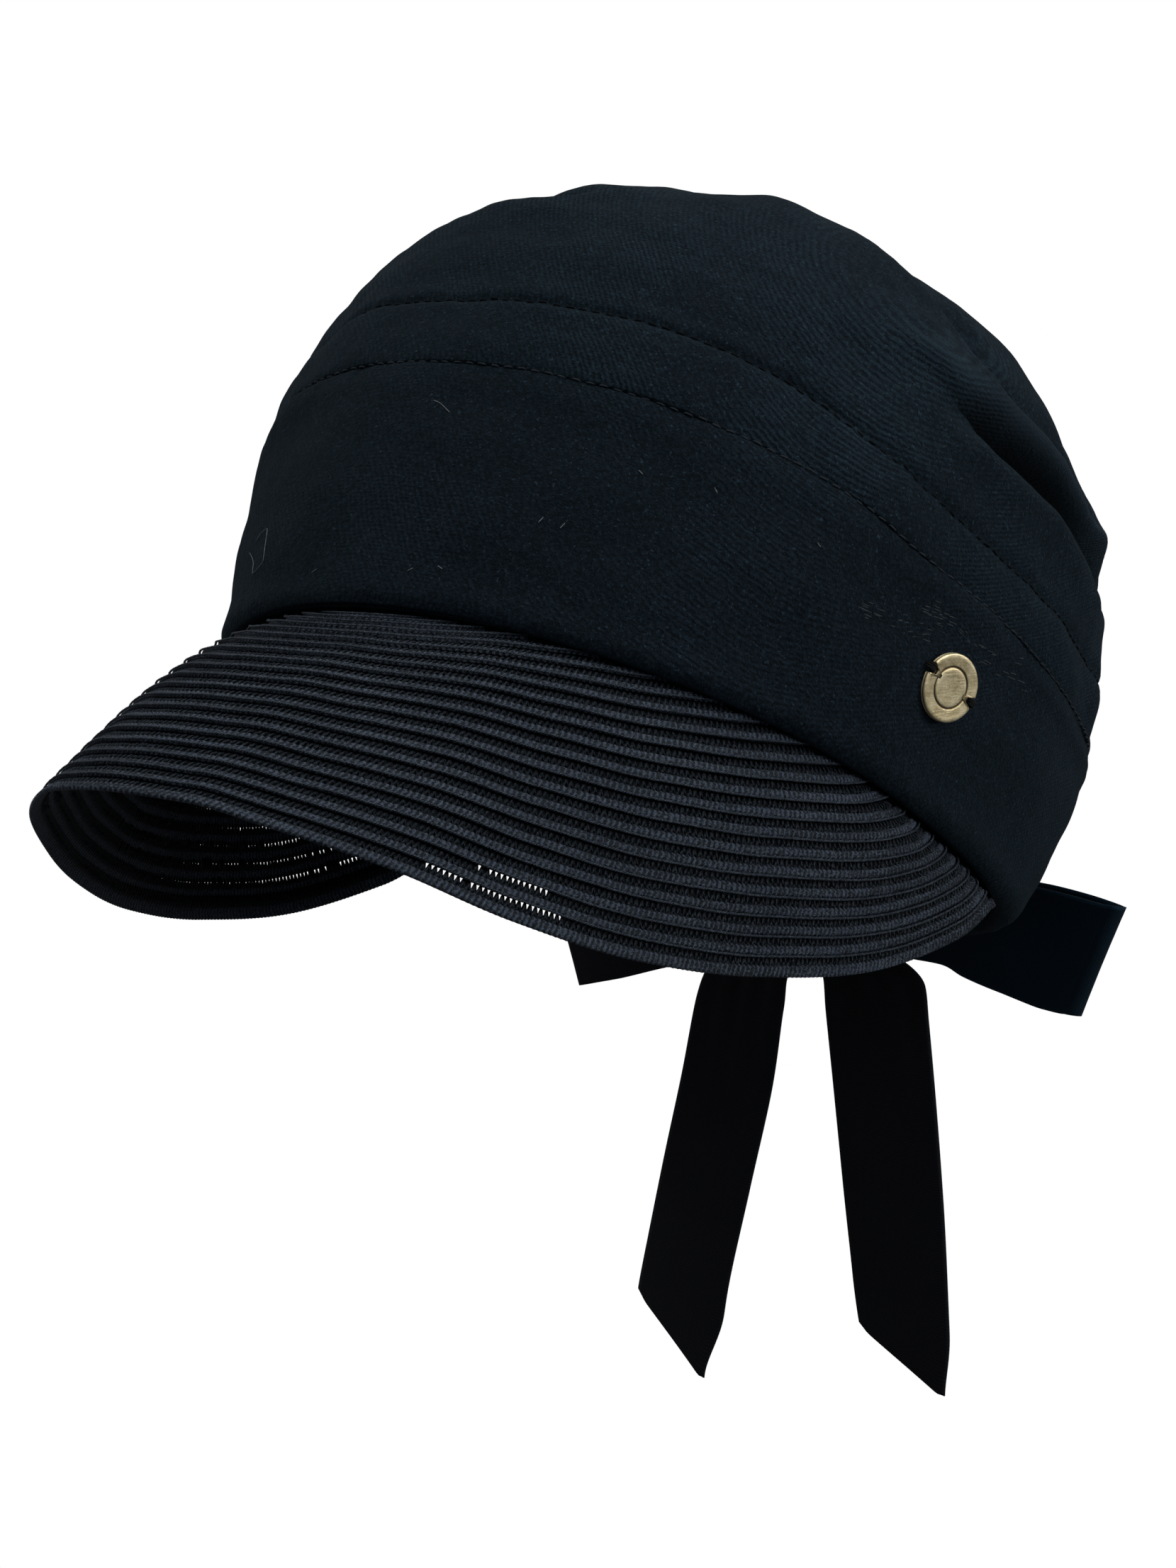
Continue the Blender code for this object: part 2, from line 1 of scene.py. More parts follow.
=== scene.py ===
"""Looks of the soft jockey hat: fine cloth, sewn braid, stitches, ribbon, badge and studio.

Same frame and the same shape functions as the CAD: +Z up, the hat faces -Y, the wearer's left is +X,
numbers in millimetres and turned into metres where the meshes are made.
"""
import json
import bpy
import numpy as np
from math import radians, cos, sin, pi
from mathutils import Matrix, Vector

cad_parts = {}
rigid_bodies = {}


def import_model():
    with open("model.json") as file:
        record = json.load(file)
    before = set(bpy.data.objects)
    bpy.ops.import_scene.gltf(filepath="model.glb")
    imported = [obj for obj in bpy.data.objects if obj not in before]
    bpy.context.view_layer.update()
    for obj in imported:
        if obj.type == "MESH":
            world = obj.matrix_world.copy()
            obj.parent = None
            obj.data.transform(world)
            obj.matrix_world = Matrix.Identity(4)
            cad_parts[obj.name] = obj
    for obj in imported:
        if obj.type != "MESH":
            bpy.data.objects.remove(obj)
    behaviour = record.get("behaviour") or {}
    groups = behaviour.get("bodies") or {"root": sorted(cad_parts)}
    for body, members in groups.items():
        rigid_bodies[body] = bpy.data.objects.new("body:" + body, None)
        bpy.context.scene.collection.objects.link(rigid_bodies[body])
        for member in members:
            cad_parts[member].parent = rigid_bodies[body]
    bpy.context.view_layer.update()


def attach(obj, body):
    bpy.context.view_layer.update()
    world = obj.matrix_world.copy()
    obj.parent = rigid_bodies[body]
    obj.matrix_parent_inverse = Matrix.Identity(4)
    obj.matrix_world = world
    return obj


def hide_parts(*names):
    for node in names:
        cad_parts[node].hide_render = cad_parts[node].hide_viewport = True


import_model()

# ---------------------------------------------------------------- driving dimensions (mm, degrees)
RIM_TILT = 28.0
CLOTH = 1.5            # crown wall
BAND_WALL = 1.8        # band wall
HEM_WALL = 3.0         # band wall where the hem is turned in
GAP = 0.35             # clearance between neighbouring pieces
PEAK_WALL = 1.8
PEAK_ROWS = 21
RIBBON_T = 1.0
BADGE_R = 8.0
BADGE_T = 1.3

# meridian of the cloth: t, half width, depth to the front, depth to the back, squareness of the back,
# height at the front, at the side, at the back (all in the rim's own frame)
MERIDIAN = [
    # t,    side, front, back, square, h_front, h_side, h_back
    (0.00,   86,    99,   90,  0.85,      0,      0,      0),
    (0.04,   89,   100.5, 93.5, 0.90,     3,    2.8,    2.5),
    (0.10,   91,   101.5, 96.5, 0.95,    10,      9,      8),
    (0.25,   95,   103,  101,  0.88,     32,     28,     24),
    (0.42,   98,   101,  116,  0.27,     58,     51,     47),
    (0.60,   95,    94,  118, -0.04,     86,     84,     78),
    (0.78,   79,    77,   99, -0.04,    114,    113,    104),
    (0.90,   48,    47,   63,  0.00,    131,    129,    121),
    (1.00,    0,     0,    0,  0.00,    136,    136,    136),
]
# where the two rows of topstitching lie: angle from the front, t of the lower row, t of the upper row
STITCH_LINES = [
    # psi, lower, upper
    (0,   0.437, 0.560),
    (28,  0.440, 0.556),
    (45,  0.437, 0.545),
    (60,  0.428, 0.515),
    (75,  0.402, 0.488),
    (90,  0.396, 0.474),
    (110, 0.384, 0.472),
    (130, 0.400, 0.472),
    (180, 0.400, 0.470),
]
# folds that run round the crown: from angle, t, to angle, t, height out, half width in t, fade in degrees
FOLDS = [
    # psi_a, t_a,  psi_b, t_b,  height, width, fade
    (68,   0.690,  126, 0.700,   1.2,  0.046,  12),    # the big roll over the wearer's left
    (78,   0.612,  126, 0.606,  -8.0,  0.026,  11),    # the recess under it
    (136,  0.700,  226, 0.700,   2.0,  0.050,  14),    # the top sags over the back
    (138,  0.600,  222, 0.604,  -4.5,  0.030,  12),
    (236,  0.700,  290, 0.690,   3.0,  0.045,  14),    # the wearer's right, a milder copy
    (240,  0.612,  286, 0.615,  -5.0,  0.028,  12),
    (-52,  0.770,   -6, 0.850,  -3.0,  0.030,  12),    # groove high on the front right
    (-2,   0.850,   18, 0.860,   1.6,  0.060,  10),    # the top stands up behind that groove
    (26,   0.865,   69, 0.852,   4.2,  0.068,  12),    # lobe over the wearer's left eye
    (73,   0.850,   98, 0.828,   2.3,  0.052,   9),    # lobe behind it, with a dent between the two
]
# gathers that run up from the band: angle, lean per t, from t, to t, height out, half width in degrees
PLEATS = [
    # psi, lean, t_a,  t_b,  height, width
    (118,  20,  0.42, 0.60,   2.0,   4.0),
    (128,  20,  0.41, 0.60,  -2.2,   3.6),
    (137,  15,  0.41, 0.62,   2.4,   4.2),
    (147,  12,  0.41, 0.60,  -2.4,   3.6),
    (157,   8,  0.41, 0.62,   2.2,   4.2),
    (168,   4,  0.41, 0.58,  -2.2,   3.8),
    (179,   0,  0.41, 0.62,   2.4,   4.4),
    (190,  -4,  0.41, 0.58,  -2.0,   3.8),
    (201,  -8,  0.41, 0.62,   2.4,   4.2),
    (212, -12,  0.41, 0.60,  -2.4,   3.6),
    (223, -15,  0.41, 0.62,   2.2,   4.2),
    (233, -20,  0.41, 0.60,  -2.0,   3.6),
    (243, -20,  0.42, 0.60,   1.8,   4.0),
    (150,   0,  0.80, 0.92,  -3.0,   9.0),             # soft valley down the back of the top
]
# outer edge of the peak in the object's frame: angle from the front, height
EDGE_HALF_WIDTH, EDGE_DEPTH, EDGE_BACK = 86.3, 179.7, 4.8
EDGE_HEIGHT = [
    # phi, z
    (0, 14.0), (12, 12.5), (24, 6.3), (36, -2.8), (48, -15.7),
    (60, -26.8), (72, -33.6), (84, -36.5), (96, -33.0), (104, -23.5),
]
# which rim angle each edge angle runs up to
PEAK_FOOT = [
    # phi, psi
    (0, 0), (8, 4), (16, 9), (24, 13.5), (32, 18.5), (40, 24), (48, 31),
    (56, 39.5), (64, 49.5), (72, 60.5), (80, 72), (88, 84), (96, 98), (104, 116),
]
PEAK_END = 102.0
PEAK_BULGE = 3.2       # how far the peak arches out between its two edges
PEAK_SWELL = 5.4       # more of it towards the rim
PEAK_DROP = 0.9        # how far the peak's inner edge lies under the rim plane
BADGE_AT = (84.6, 0.238)
BADGE_TURN = 8.0       # the badge faces this much more to the front than the cloth behind it
BADGE_OFF = 0.55       # and stands off by this much at its middle for it
KNOT = (-5.0, 104.0, -42.0)
# ribbon loops and tails: centre line and half width direction, one row per section
LOOP_LEFT = [
    # x,   y,     z,    wx,    wz,  half, open
    (1,   104.5, -42.0,  0.00, -1.00,  7.0, 1.3),
    (14,  107.0, -42.0, -0.03, -1.00,  9.0, 2.2),
    (30,  107.0, -41.4, -0.12, -0.99, 10.8, 3.0),
    (39,  106.2, -42.2, -0.20, -0.98, 12.7, 3.4),
    (52,  104.6, -43.6, -0.30, -0.95, 14.2, 3.8),
    (68,  102.0, -46.0, -0.38, -0.92, 15.2, 3.4),
    (75,  100.5, -46.8, -0.41, -0.91, 15.2, 2.4),
]
LOOP_RIGHT = [
    (-11, 104.5, -42.0,  0.00, -1.00,  7.0, 1.3),
    (-24, 107.0, -42.5,  0.05, -1.00,  9.2, 2.2),
    (-42, 107.0, -44.8,  0.13, -0.99, 11.6, 3.2),
    (-61, 105.0, -47.2,  0.24, -0.97, 13.4, 3.8),
    (-77, 102.0, -50.2,  0.31, -0.95, 14.8, 3.4),
    (-84, 100.5, -51.6,  0.34, -0.94, 15.0, 2.4),
]
TAIL_LEFT = [
    # x,   y,     z,     wx,    wy,  half
    (6.5,  100.6, -51.5, 1.00,  0.04, 12.5),
    (11.0,  99.9, -57.5, 1.00,  0.06, 15.0),
    (12.4,  99.4, -66.0, 1.00,  0.07, 15.0),
    (15.0,  99.0, -84.0, 1.00,  0.06, 15.0),
    (18.0,  98.6, -108.0, 1.00, 0.03, 15.0),
    (20.6,  98.2, -132.0, 1.00, -0.05, 15.0),
    (22.0,  97.9, -145.0, 1.00, -0.08, 14.4),
]
TAIL_RIGHT = [
    (-20.0, 100.6, -51.5, 1.00, -0.12, 11.0),
    (-27.6,  99.9, -57.5, 0.98, -0.20, 14.2),
    (-30.1,  99.6, -66.0, 0.99, -0.15, 15.0),
    (-33.7,  99.5, -84.0, 0.99, -0.11, 15.0),
    (-39.9,  99.3, -108.0, 0.99, -0.14, 15.0),
    (-46.0,  99.0, -132.0, 0.98, -0.19, 15.0),
    (-48.8,  98.8, -145.5, 0.98, -0.19, 15.0),
]
TAIL_SLANT = (15.5, 18.5)  # how much longer each tail is on its longer side: left, right

# ---------------------------------------------------------------- shape functions


def smooth(xs, ys, x):
    """Monotone cubic through a short table."""
    xs, ys, x = np.asarray(xs, float), np.asarray(ys, float), np.asarray(x, float)
    h = np.diff(xs)
    d = np.diff(ys) / h
    m = np.zeros(len(xs))
    for i in range(1, len(xs) - 1):
        if d[i - 1] * d[i] > 0:
            w1, w2 = 2 * h[i] + h[i - 1], h[i] + 2 * h[i - 1]
            m[i] = (w1 + w2) / (w1 / d[i - 1] + w2 / d[i])
    m[0] = ((2 * h[0] + h[1]) * d[0] - h[0] * d[1]) / (h[0] + h[1])
    m[-1] = ((2 * h[-1] + h[-2]) * d[-1] - h[-1] * d[-2]) / (h[-1] + h[-2])
    for k, e in ((0, 0), (-1, -1)):
        if m[k] * d[e] <= 0:
            m[k] = 0.0
        elif abs(m[k]) > 3 * abs(d[e]):
            m[k] = 3 * d[e]
    x = np.clip(x, xs[0], xs[-1])
    i = np.clip(np.searchsorted(xs, x, side="right") - 1, 0, len(xs) - 2)
    s = (x - xs[i]) / h[i]
    return (ys[i] * (1 + 2 * s) * (1 - s) ** 2 + m[i] * h[i] * s * (1 - s) ** 2
            + ys[i + 1] * s * s * (3 - 2 * s) + m[i + 1] * h[i] * s * s * (s - 1))


def column(table, k):
    return [row[k] for row in table]


def step(a, b, x):
    s = np.clip((np.asarray(x, float) - a) / (b - a), 0, 1)
    return s * s * (3 - 2 * s)


def out_of_rim(p):
    """Rim frame (across, back, up from the rim plane) to the object's frame."""
    p = np.asarray(p, float)
    c, s = cos(radians(RIM_TILT)), sin(radians(RIM_TILT))
    return np.stack([p[..., 0], p[..., 1] * c + p[..., 2] * s, -p[..., 1] * s + p[..., 2] * c], -1)


def cloth_base(psi, t):
    psi, t = np.broadcast_arrays(np.asarray(psi, float), np.asarray(t, float))
    T = column(MERIDIAN, 0)
    w, f, b, k, hf, hs, hb = (smooth(T, column(MERIDIAN, i), t) for i in range(1, 8))
    c, s = np.cos(np.radians(psi)), np.sin(np.radians(psi))
    back = np.clip(-c, 0, 1)
    q = np.where(c > 0, -f * c, b * back * (1 + k * (1 - back)))
    h = hs * s * s + np.where(c > 0, hf, hb) * c * c
    return out_of_rim(np.stack([w * s, q, h], -1))


def cloth_normal(psi, t):
    t = np.clip(np.asarray(t, float), 0.002, 0.985)
    du = cloth_base(np.asarray(psi, float) + 0.5, t) - cloth_base(np.asarray(psi, float) - 0.5, t)
    dv = cloth_base(psi, t + 0.002) - cloth_base(psi, t - 0.002)
    n = np.cross(du, dv)
    return n / np.linalg.norm(n, axis=-1)[..., None]


def wrap(a):
    return (np.asarray(a, float) + 180.0) % 360.0 - 180.0


def fold_height(psi, t):
    """How far the folds and gathers push the top out (+) or in (-)."""
    psi, t = np.broadcast_arrays(np.asarray(psi, float), np.asarray(t, float))
    d = np.zeros(psi.shape)
    for a, ta, b, tb, height, width, fade in FOLDS:
        mid = 0.5 * (a + b)
        x = mid + wrap(psi - mid)
        tc = ta + (tb - ta) * np.clip((x - a) / (b - a), 0, 1)
        d += height * np.exp(-((t - tc) / width) ** 2) * step(a - fade, a + fade, x) * (1 - step(b - fade, b + fade, x))
    for centre, lean, ta, tb, height, width in PLEATS:
        x = wrap(psi - centre - lean * (t - ta))
        d += height * np.exp(-(x / width) ** 2) * step(ta - 0.03, ta + 0.05, t) * (1 - step(tb - 0.06, tb + 0.06, t))
    return d


def cloth(psi, t, inset=0.0, folds=True):
    d = (fold_height(psi, t) if folds else 0.0) - inset
    d = np.broadcast_to(d, np.broadcast(np.asarray(psi), np.asarray(t)).shape)
    return cloth_base(psi, t) + cloth_normal(psi, t) * d[..., None]


def line_t(psi, which):
    return smooth(column(STITCH_LINES, 0), column(STITCH_LINES, which), np.abs(wrap(psi)))


def edge(phi):
    a = np.abs(phi)
    z = smooth(column(EDGE_HEIGHT, 0), column(EDGE_HEIGHT, 1), a)
    r = np.radians(phi)
    return np.stack([EDGE_HALF_WIDTH * np.sin(r), EDGE_BACK - EDGE_DEPTH * np.cos(r), z], -1)


def peak(phi, f, inset=0.0):
    """Point of the peak: phi along the outer edge, f from the edge (0) to the rim (1)."""
    phi, f = np.broadcast_arrays(np.asarray(phi, float), np.asarray(f, float))
    foot = smooth(column(PEAK_FOOT, 0), column(PEAK_FOOT, 1), np.abs(phi)) * np.where(phi < 0, -1.0, 1.0)
    up = out_of_rim(np.array([0.0, 0.0, 1.0]))
    E = edge(phi)
    R = cloth_base(foot, np.zeros_like(phi)) - up * PEAK_DROP
    D = R - E
    size = np.linalg.norm(D, axis=-1)
    # normal of the ruled sheet at this place
    n = np.cross((1 - f)[..., None] * (edge(phi + 0.5) - edge(phi - 0.5)) + f[..., None] * rim_step(phi), D)
    n /= np.linalg.norm(n, axis=-1)[..., None]
    push = 4 * f * (1 - f) * (PEAK_BULGE + PEAK_SWELL * f) * np.minimum(1, size / 60) - inset
    return E + D * f[..., None] + n * push[..., None]


def rim_step(phi):
    a, b = np.clip(phi - 0.5, -PEAK_END, PEAK_END), np.clip(phi + 0.5, -PEAK_END, PEAK_END)
    fa = smooth(column(PEAK_FOOT, 0), column(PEAK_FOOT, 1), np.abs(a)) * np.where(a < 0, -1.0, 1.0)
    fb = smooth(column(PEAK_FOOT, 0), column(PEAK_FOOT, 1), np.abs(b)) * np.where(b < 0, -1.0, 1.0)
    return cloth_base(fb, np.zeros_like(b)) - cloth_base(fa, np.zeros_like(a))


# ---------------------------------------------------------------- mesh making


def unit(v):
    v = np.asarray(v, float)
    return v / np.maximum(np.linalg.norm(v, axis=-1), 1e-12)[..., None]


def make(name, verts, quads=None, tris=None, mat=None, knit=None, along=None, smooth_shade=True):
    """Mesh object from arrays: verts in mm, knit and along are optional two-column arrays, one row a vertex."""
    v = np.asarray(verts, float).reshape(-1, 3) * 0.001
    quads = np.zeros((0, 4), np.int64) if quads is None else np.asarray(quads, np.int64).reshape(-1, 4)
    tris = np.zeros((0, 3), np.int64) if tris is None else np.asarray(tris, np.int64).reshape(-1, 3)
    loops = np.concatenate([quads.ravel(), tris.ravel()])
    starts = np.concatenate([np.arange(len(quads)) * 4, len(quads) * 4 + np.arange(len(tris)) * 3])
    me = bpy.data.meshes.new(name)
    me.vertices.add(len(v))
    me.vertices.foreach_set("co", v.astype(np.float32).ravel())
    me.loops.add(len(loops))
    me.loops.foreach_set("vertex_index", loops.astype(np.int32))
    me.polygons.add(len(starts))
    me.polygons.foreach_set("loop_start", starts.astype(np.int32))
    me.polygons.foreach_set("use_smooth", np.full(len(starts), smooth_shade))
    me.update(calc_edges=True)
    for layer, values in (("knit", knit), ("along", along)):
        if values is not None:
            uv = me.uv_layers.new(name=layer)
            uv.data.foreach_set("uv", np.asarray(values, np.float32)[loops].ravel())
    if me.validate(clean_customdata=False):
        print("mesh repaired:", name)
    ob = bpy.data.objects.new(name, me)
    bpy.context.scene.collection.objects.link(ob)
    if mat is not None:
        me.materials.append(mat)
    return ob


def ring_quads(rows, cols, at=0, close_cols=True, close_rows=False):
    r = np.arange(rows if close_rows else rows - 1)
    c = np.arange(cols if close_cols else cols - 1)
    R, C = np.meshgrid(r, c, indexing="ij")
    a = at + R * cols + C
    b = at + R * cols + (C + 1) % cols
    up = at + ((R + 1) % rows) * cols
    return np.stack([a, b, up + (C + 1) % cols, up + C], -1).reshape(-1, 4)


def wobble(P, size, seed, n=7):
    """Smooth seeded unevenness of about unit size, with waves of about `size` mm."""
    g = np.random.default_rng(seed)
    k = unit(g.normal(size=(n, 3))) * (2 * pi / size * g.uniform(0.6, 1.5, (n, 1)))
    return np.sin(np.asarray(P) @ k.T + g.uniform(0, 2 * pi, n)).sum(-1) / np.sqrt(n / 2)


def side_distance(P, N, points, closed=False):
    """Signed distance in mm from surface points to a line given as (psi, t) rows: + above the line. Also the share along it."""
    pts = np.asarray(points, float)
    s = np.linspace(0, len(pts) - 1, 24 * (len(pts) - 1) + 1)
    x = np.arange(len(pts))
    psi, t = smooth(x, pts[:, 0], s), smooth(x, pts[:, 1], s)
    C = cloth_base(psi, t)
    T = unit(np.gradient(C, axis=0))
    run = np.concatenate([[0], np.cumsum(np.linalg.norm(np.diff(C, axis=0), axis=1))])
    shape = P.shape[:-1]
    p, n = P.reshape(-1, 3), N.reshape(-1, 3)
    dist, where = np.full(len(p), 1e9), np.zeros(len(p), int)
    for i in range(len(C)):
        d = np.linalg.norm(p - C[i], axis=1)
        near = d < dist
        dist[near], where[near] = d[near], i
    off = p - C[where]
    tang = T[where]
    flat = off - tang * (off * tang).sum(-1)[:, None]
    side = (flat * np.cross(n, tang)).sum(-1)
    past = np.abs((off * tang).sum(-1))
    across = np.sign(side) * np.sqrt(np.maximum((flat ** 2).sum(-1), 0))
    ends = np.minimum(run[where], run[-1] - run[where]) - np.where((where == 0) | (where == len(C) - 1), past, 0)
    return across.reshape(shape), ends.reshape(shape)


# ---------------------------------------------------------------- direction of the knit's ribs
RIB_PITCH = 1.05       # mm
# how the ribs run: phase in units of 100 mm as a cubic in x, y and z - 50 (all / 100 mm)
RIB = dict(x=0.812, y=-0.382, z=0.517, xx=-0.376, yy=-0.564, zz=-0.254, xy=0.151, yz=0.459, xz=-0.001,
           xxx=-0.145, yyy=0.397, zzz=0.006, xxy=0.462, xxz=0.481, yyx=-0.039, yyz=-0.406, zzx=-0.016,
           zzy=0.257, xyz=-0.039)


def knit_uv(P):
    """(across the ribs, along the ribs) in units of 10 mm."""
    q = {"x": P[..., 0] / 100, "y": P[..., 1] / 100, "z": P[..., 2] / 100 - 0.5}
    s = 0.0
    for term, c in RIB.items():
        m = c
        for letter in term:
            m = m * q[letter]
        s = s + m
    return np.stack([s * 10.0, 0.8 * (P[..., 1] + P[..., 2]) / 10.0], -1)


# ---------------------------------------------------------------- fine relief of the cloth
# creases: points (psi, t); height out in mm; how wide below and above the line in mm; length of the fade at the ends in mm
CREASES = [
    # the valley above the roll, steep on the roll's side
    dict(points=[(57, 0.868), (62, 0.846), (68, 0.824), (73, 0.800)], height=-1.2, low=2.2, high=7.0, fade=8.0),
    dict(points=[(71, 0.806), (74, 0.782), (77, 0.752), (80, 0.716), (85, 0.698), (92, 0.692), (100, 0.690), (108, 0.684),
                 (118, 0.676)], height=-4.4, low=2.0, high=7.0, fade=9.0),
    # crest of the roll
    dict(points=[(60, 0.690), (67, 0.676), (74, 0.668), (83, 0.665), (94, 0.664), (104, 0.664), (116, 0.660), (126, 0.658)],
         height=2.1, low=2.6, high=3.6, fade=20.0),
    # the recess under the roll, with a steep lower lip
    dict(points=[(73, 0.645), (80, 0.640), (87, 0.634), (95, 0.623), (104, 0.605), (113, 0.587), (122, 0.577)],
         height=-9.4, low=2.2, high=3.6, fade=14.0),
    # soft shading valley that leads into the recess from the front
    dict(points=[(48, 0.640), (58, 0.632), (68, 0.626), (78, 0.618)], height=-1.6, low=9.0, high=6.0, fade=12.0),
    # the lip under the recess
    dict(points=[(72, 0.598), (82, 0.592), (92, 0.584), (102, 0.566), (110, 0.548), (118, 0.540)], height=2.4, low=7.0, high=2.6, fade=14.0),
    # the front crest high on the right side, and the dip behind it
    dict(points=[(-40, 0.800), (-29, 0.795), (-16, 0.770), (-4, 0.772), (6, 0.800), (14, 0.838)], height=0.9, low=7.0, high=2.4, fade=16.0),
    dict(points=[(-44, 0.828), (-30, 0.818), (-16, 0.800), (-3, 0.800), (6, 0.826), (13, 0.856)], height=-1.7, low=2.6, high=5.0, fade=16.0),
    # dent between the two lobes at the top
    dict(points=[(64, 0.905), (68, 0.876), (72, 0.846), (75, 0.812)], height=-0.4, low=4.0, high=4.0, fade=10.0),
    # wearer's right: a milder copy of the roll
    dict(points=[(-60, 0.650), (-74, 0.645), (-90, 0.648), (-106, 0.655), (-120, 0.650)], height=1.2, low=6.0, high=6.0, fade=18.0),
    dict(points=[(-66, 0.622), (-78, 0.618), (-92, 0.612), (-106, 0.600), (-118, 0.590)], height=-3.0, low=5.0, high=4.5, fade=16.0),
]


def crease_relief(P, N):
    d = np.zeros(P.shape[:-1])
    for c in CREASES:
        a, ends = side_distance(P, N, c["points"])
        width = np.where(a < 0, c["low"], c["high"]) if c["points"][0][0] < c["points"][-1][0] else np.where(a > 0, c["low"], c["high"])
        d += c["height"] * np.exp(-(a / width) ** 2) * step(-c["fade"] * 0.3, c["fade"], ends)
    return d


def line_dip(psi, t, which, depth, width):
    return -depth * np.exp(-((t - line_t(psi, which)) / width) ** 2)


def cloth_relief(psi, t, P, N):
    """Fine relief outside the CAD's own folds: pinched stitch lines, puffs, puckers and soft unevenness."""
    lo, hi = line_t(psi, 1), line_t(psi, 2)
    d = line_dip(psi, t, 2, 0.75, 0.0085) + line_dip(psi, t, 2, 0.45, 0.0032)
    mid = (t - lo) / (hi - lo)
    d = d + 0.75 * np.exp(-((mid - 0.52) / 0.36) ** 2) * step(-0.1, 0.25, mid) * (1 - step(0.8, 1.1, mid))
    arc = psi * 1.72                                   # about a mm along the line for each unit
    near = np.exp(-((t - hi) / 0.022) ** 2)
    g = np.random.default_rng(5)
    pucker = sum(np.sin(2 * pi * arc / L + ph) for L, ph in zip((5.3, 7.9, 11.6), g.uniform(0, 6.28, 3))) / 2.2
    d = d + 0.16 * near * pucker
    d = d + 0.34 * wobble(P, 46, 11) + 0.20 * wobble(P, 23, 12) + 0.07 * wobble(P, 9, 13)
    return d


# ---------------------------------------------------------------- materials


def new_material(name):
    m = bpy.data.materials.new(name)
    m.use_nodes = True
    nt = m.node_tree
    b = nt.nodes["Principled BSDF"]
    return m, nt, b


def add(nt, kind, **values):
    n = nt.nodes.new(kind)
    for k, v in values.items():
        if k.startswith("in_"):
            key = k[3:]
            n.inputs[int(key) if key.isdigit() else key.replace("_", " ")].default_value = v
        else:
            setattr(n, k, v)
    return n


def math(nt, op, a, b=None, c=None, clamp=False):
    n = nt.nodes.new("ShaderNodeMath")
    n.operation = op
    n.use_clamp = clamp
    for i, x in enumerate((a, b, c)):
        if x is None:
            continue
        if isinstance(x, (int, float)):
            n.inputs[i].default_value = float(x)
        else:
            nt.links.new(x, n.inputs[i])
    return n.outputs[0]


def noise(nt, coord, scale, detail=2.0, rough=0.5, distortion=0.0, stretch=None):
    if stretch is not None:
        mp = nt.nodes.new("ShaderNodeMapping")
        mp.inputs["Scale"].default_value = stretch
        nt.links.new(coord, mp.inputs["Vector"])
        coord = mp.outputs[0]
    n = nt.nodes.new("ShaderNodeTexNoise")
    n.inputs["Scale"].default_value = scale
    n.inputs["Detail"].default_value = detail
    n.inputs["Roughness"].default_value = rough
    n.inputs["Distortion"].default_value = distortion
    nt.links.new(coord, n.inputs["Vector"])
    return n.outputs["Fac"]


def ramp(nt, fac, stops):
    n = nt.nodes.new("ShaderNodeValToRGB")
    e = n.color_ramp.elements
    while len(e) < len(stops):
        e.new(0.5)
    for el, (p, c) in zip(e, stops):
        el.position = p
        el.color = (*c, 1.0) if len(c) == 3 else c
    nt.links.new(fac, n.inputs["Fac"])
    return n.outputs["Color"]


def mix_rgb(nt, fac, a, b, mode="MIX"):
    n = nt.nodes.new("ShaderNodeMix")
    n.data_type = "RGBA"
    n.blend_type = mode
    for sock, x in ((n.inputs[0], fac), (n.inputs[6], a), (n.inputs[7], b)):
        if isinstance(x, (int, float)):
            sock.default_value = float(x)
        elif isinstance(x, tuple):
            sock.default_value = (*x, 1.0)
        else:
            nt.links.new(x, sock)
    return n.outputs[2]


def set_const(b, **values):
    for k, v in values.items():
        b.inputs[k.replace("_", " ")].default_value = v


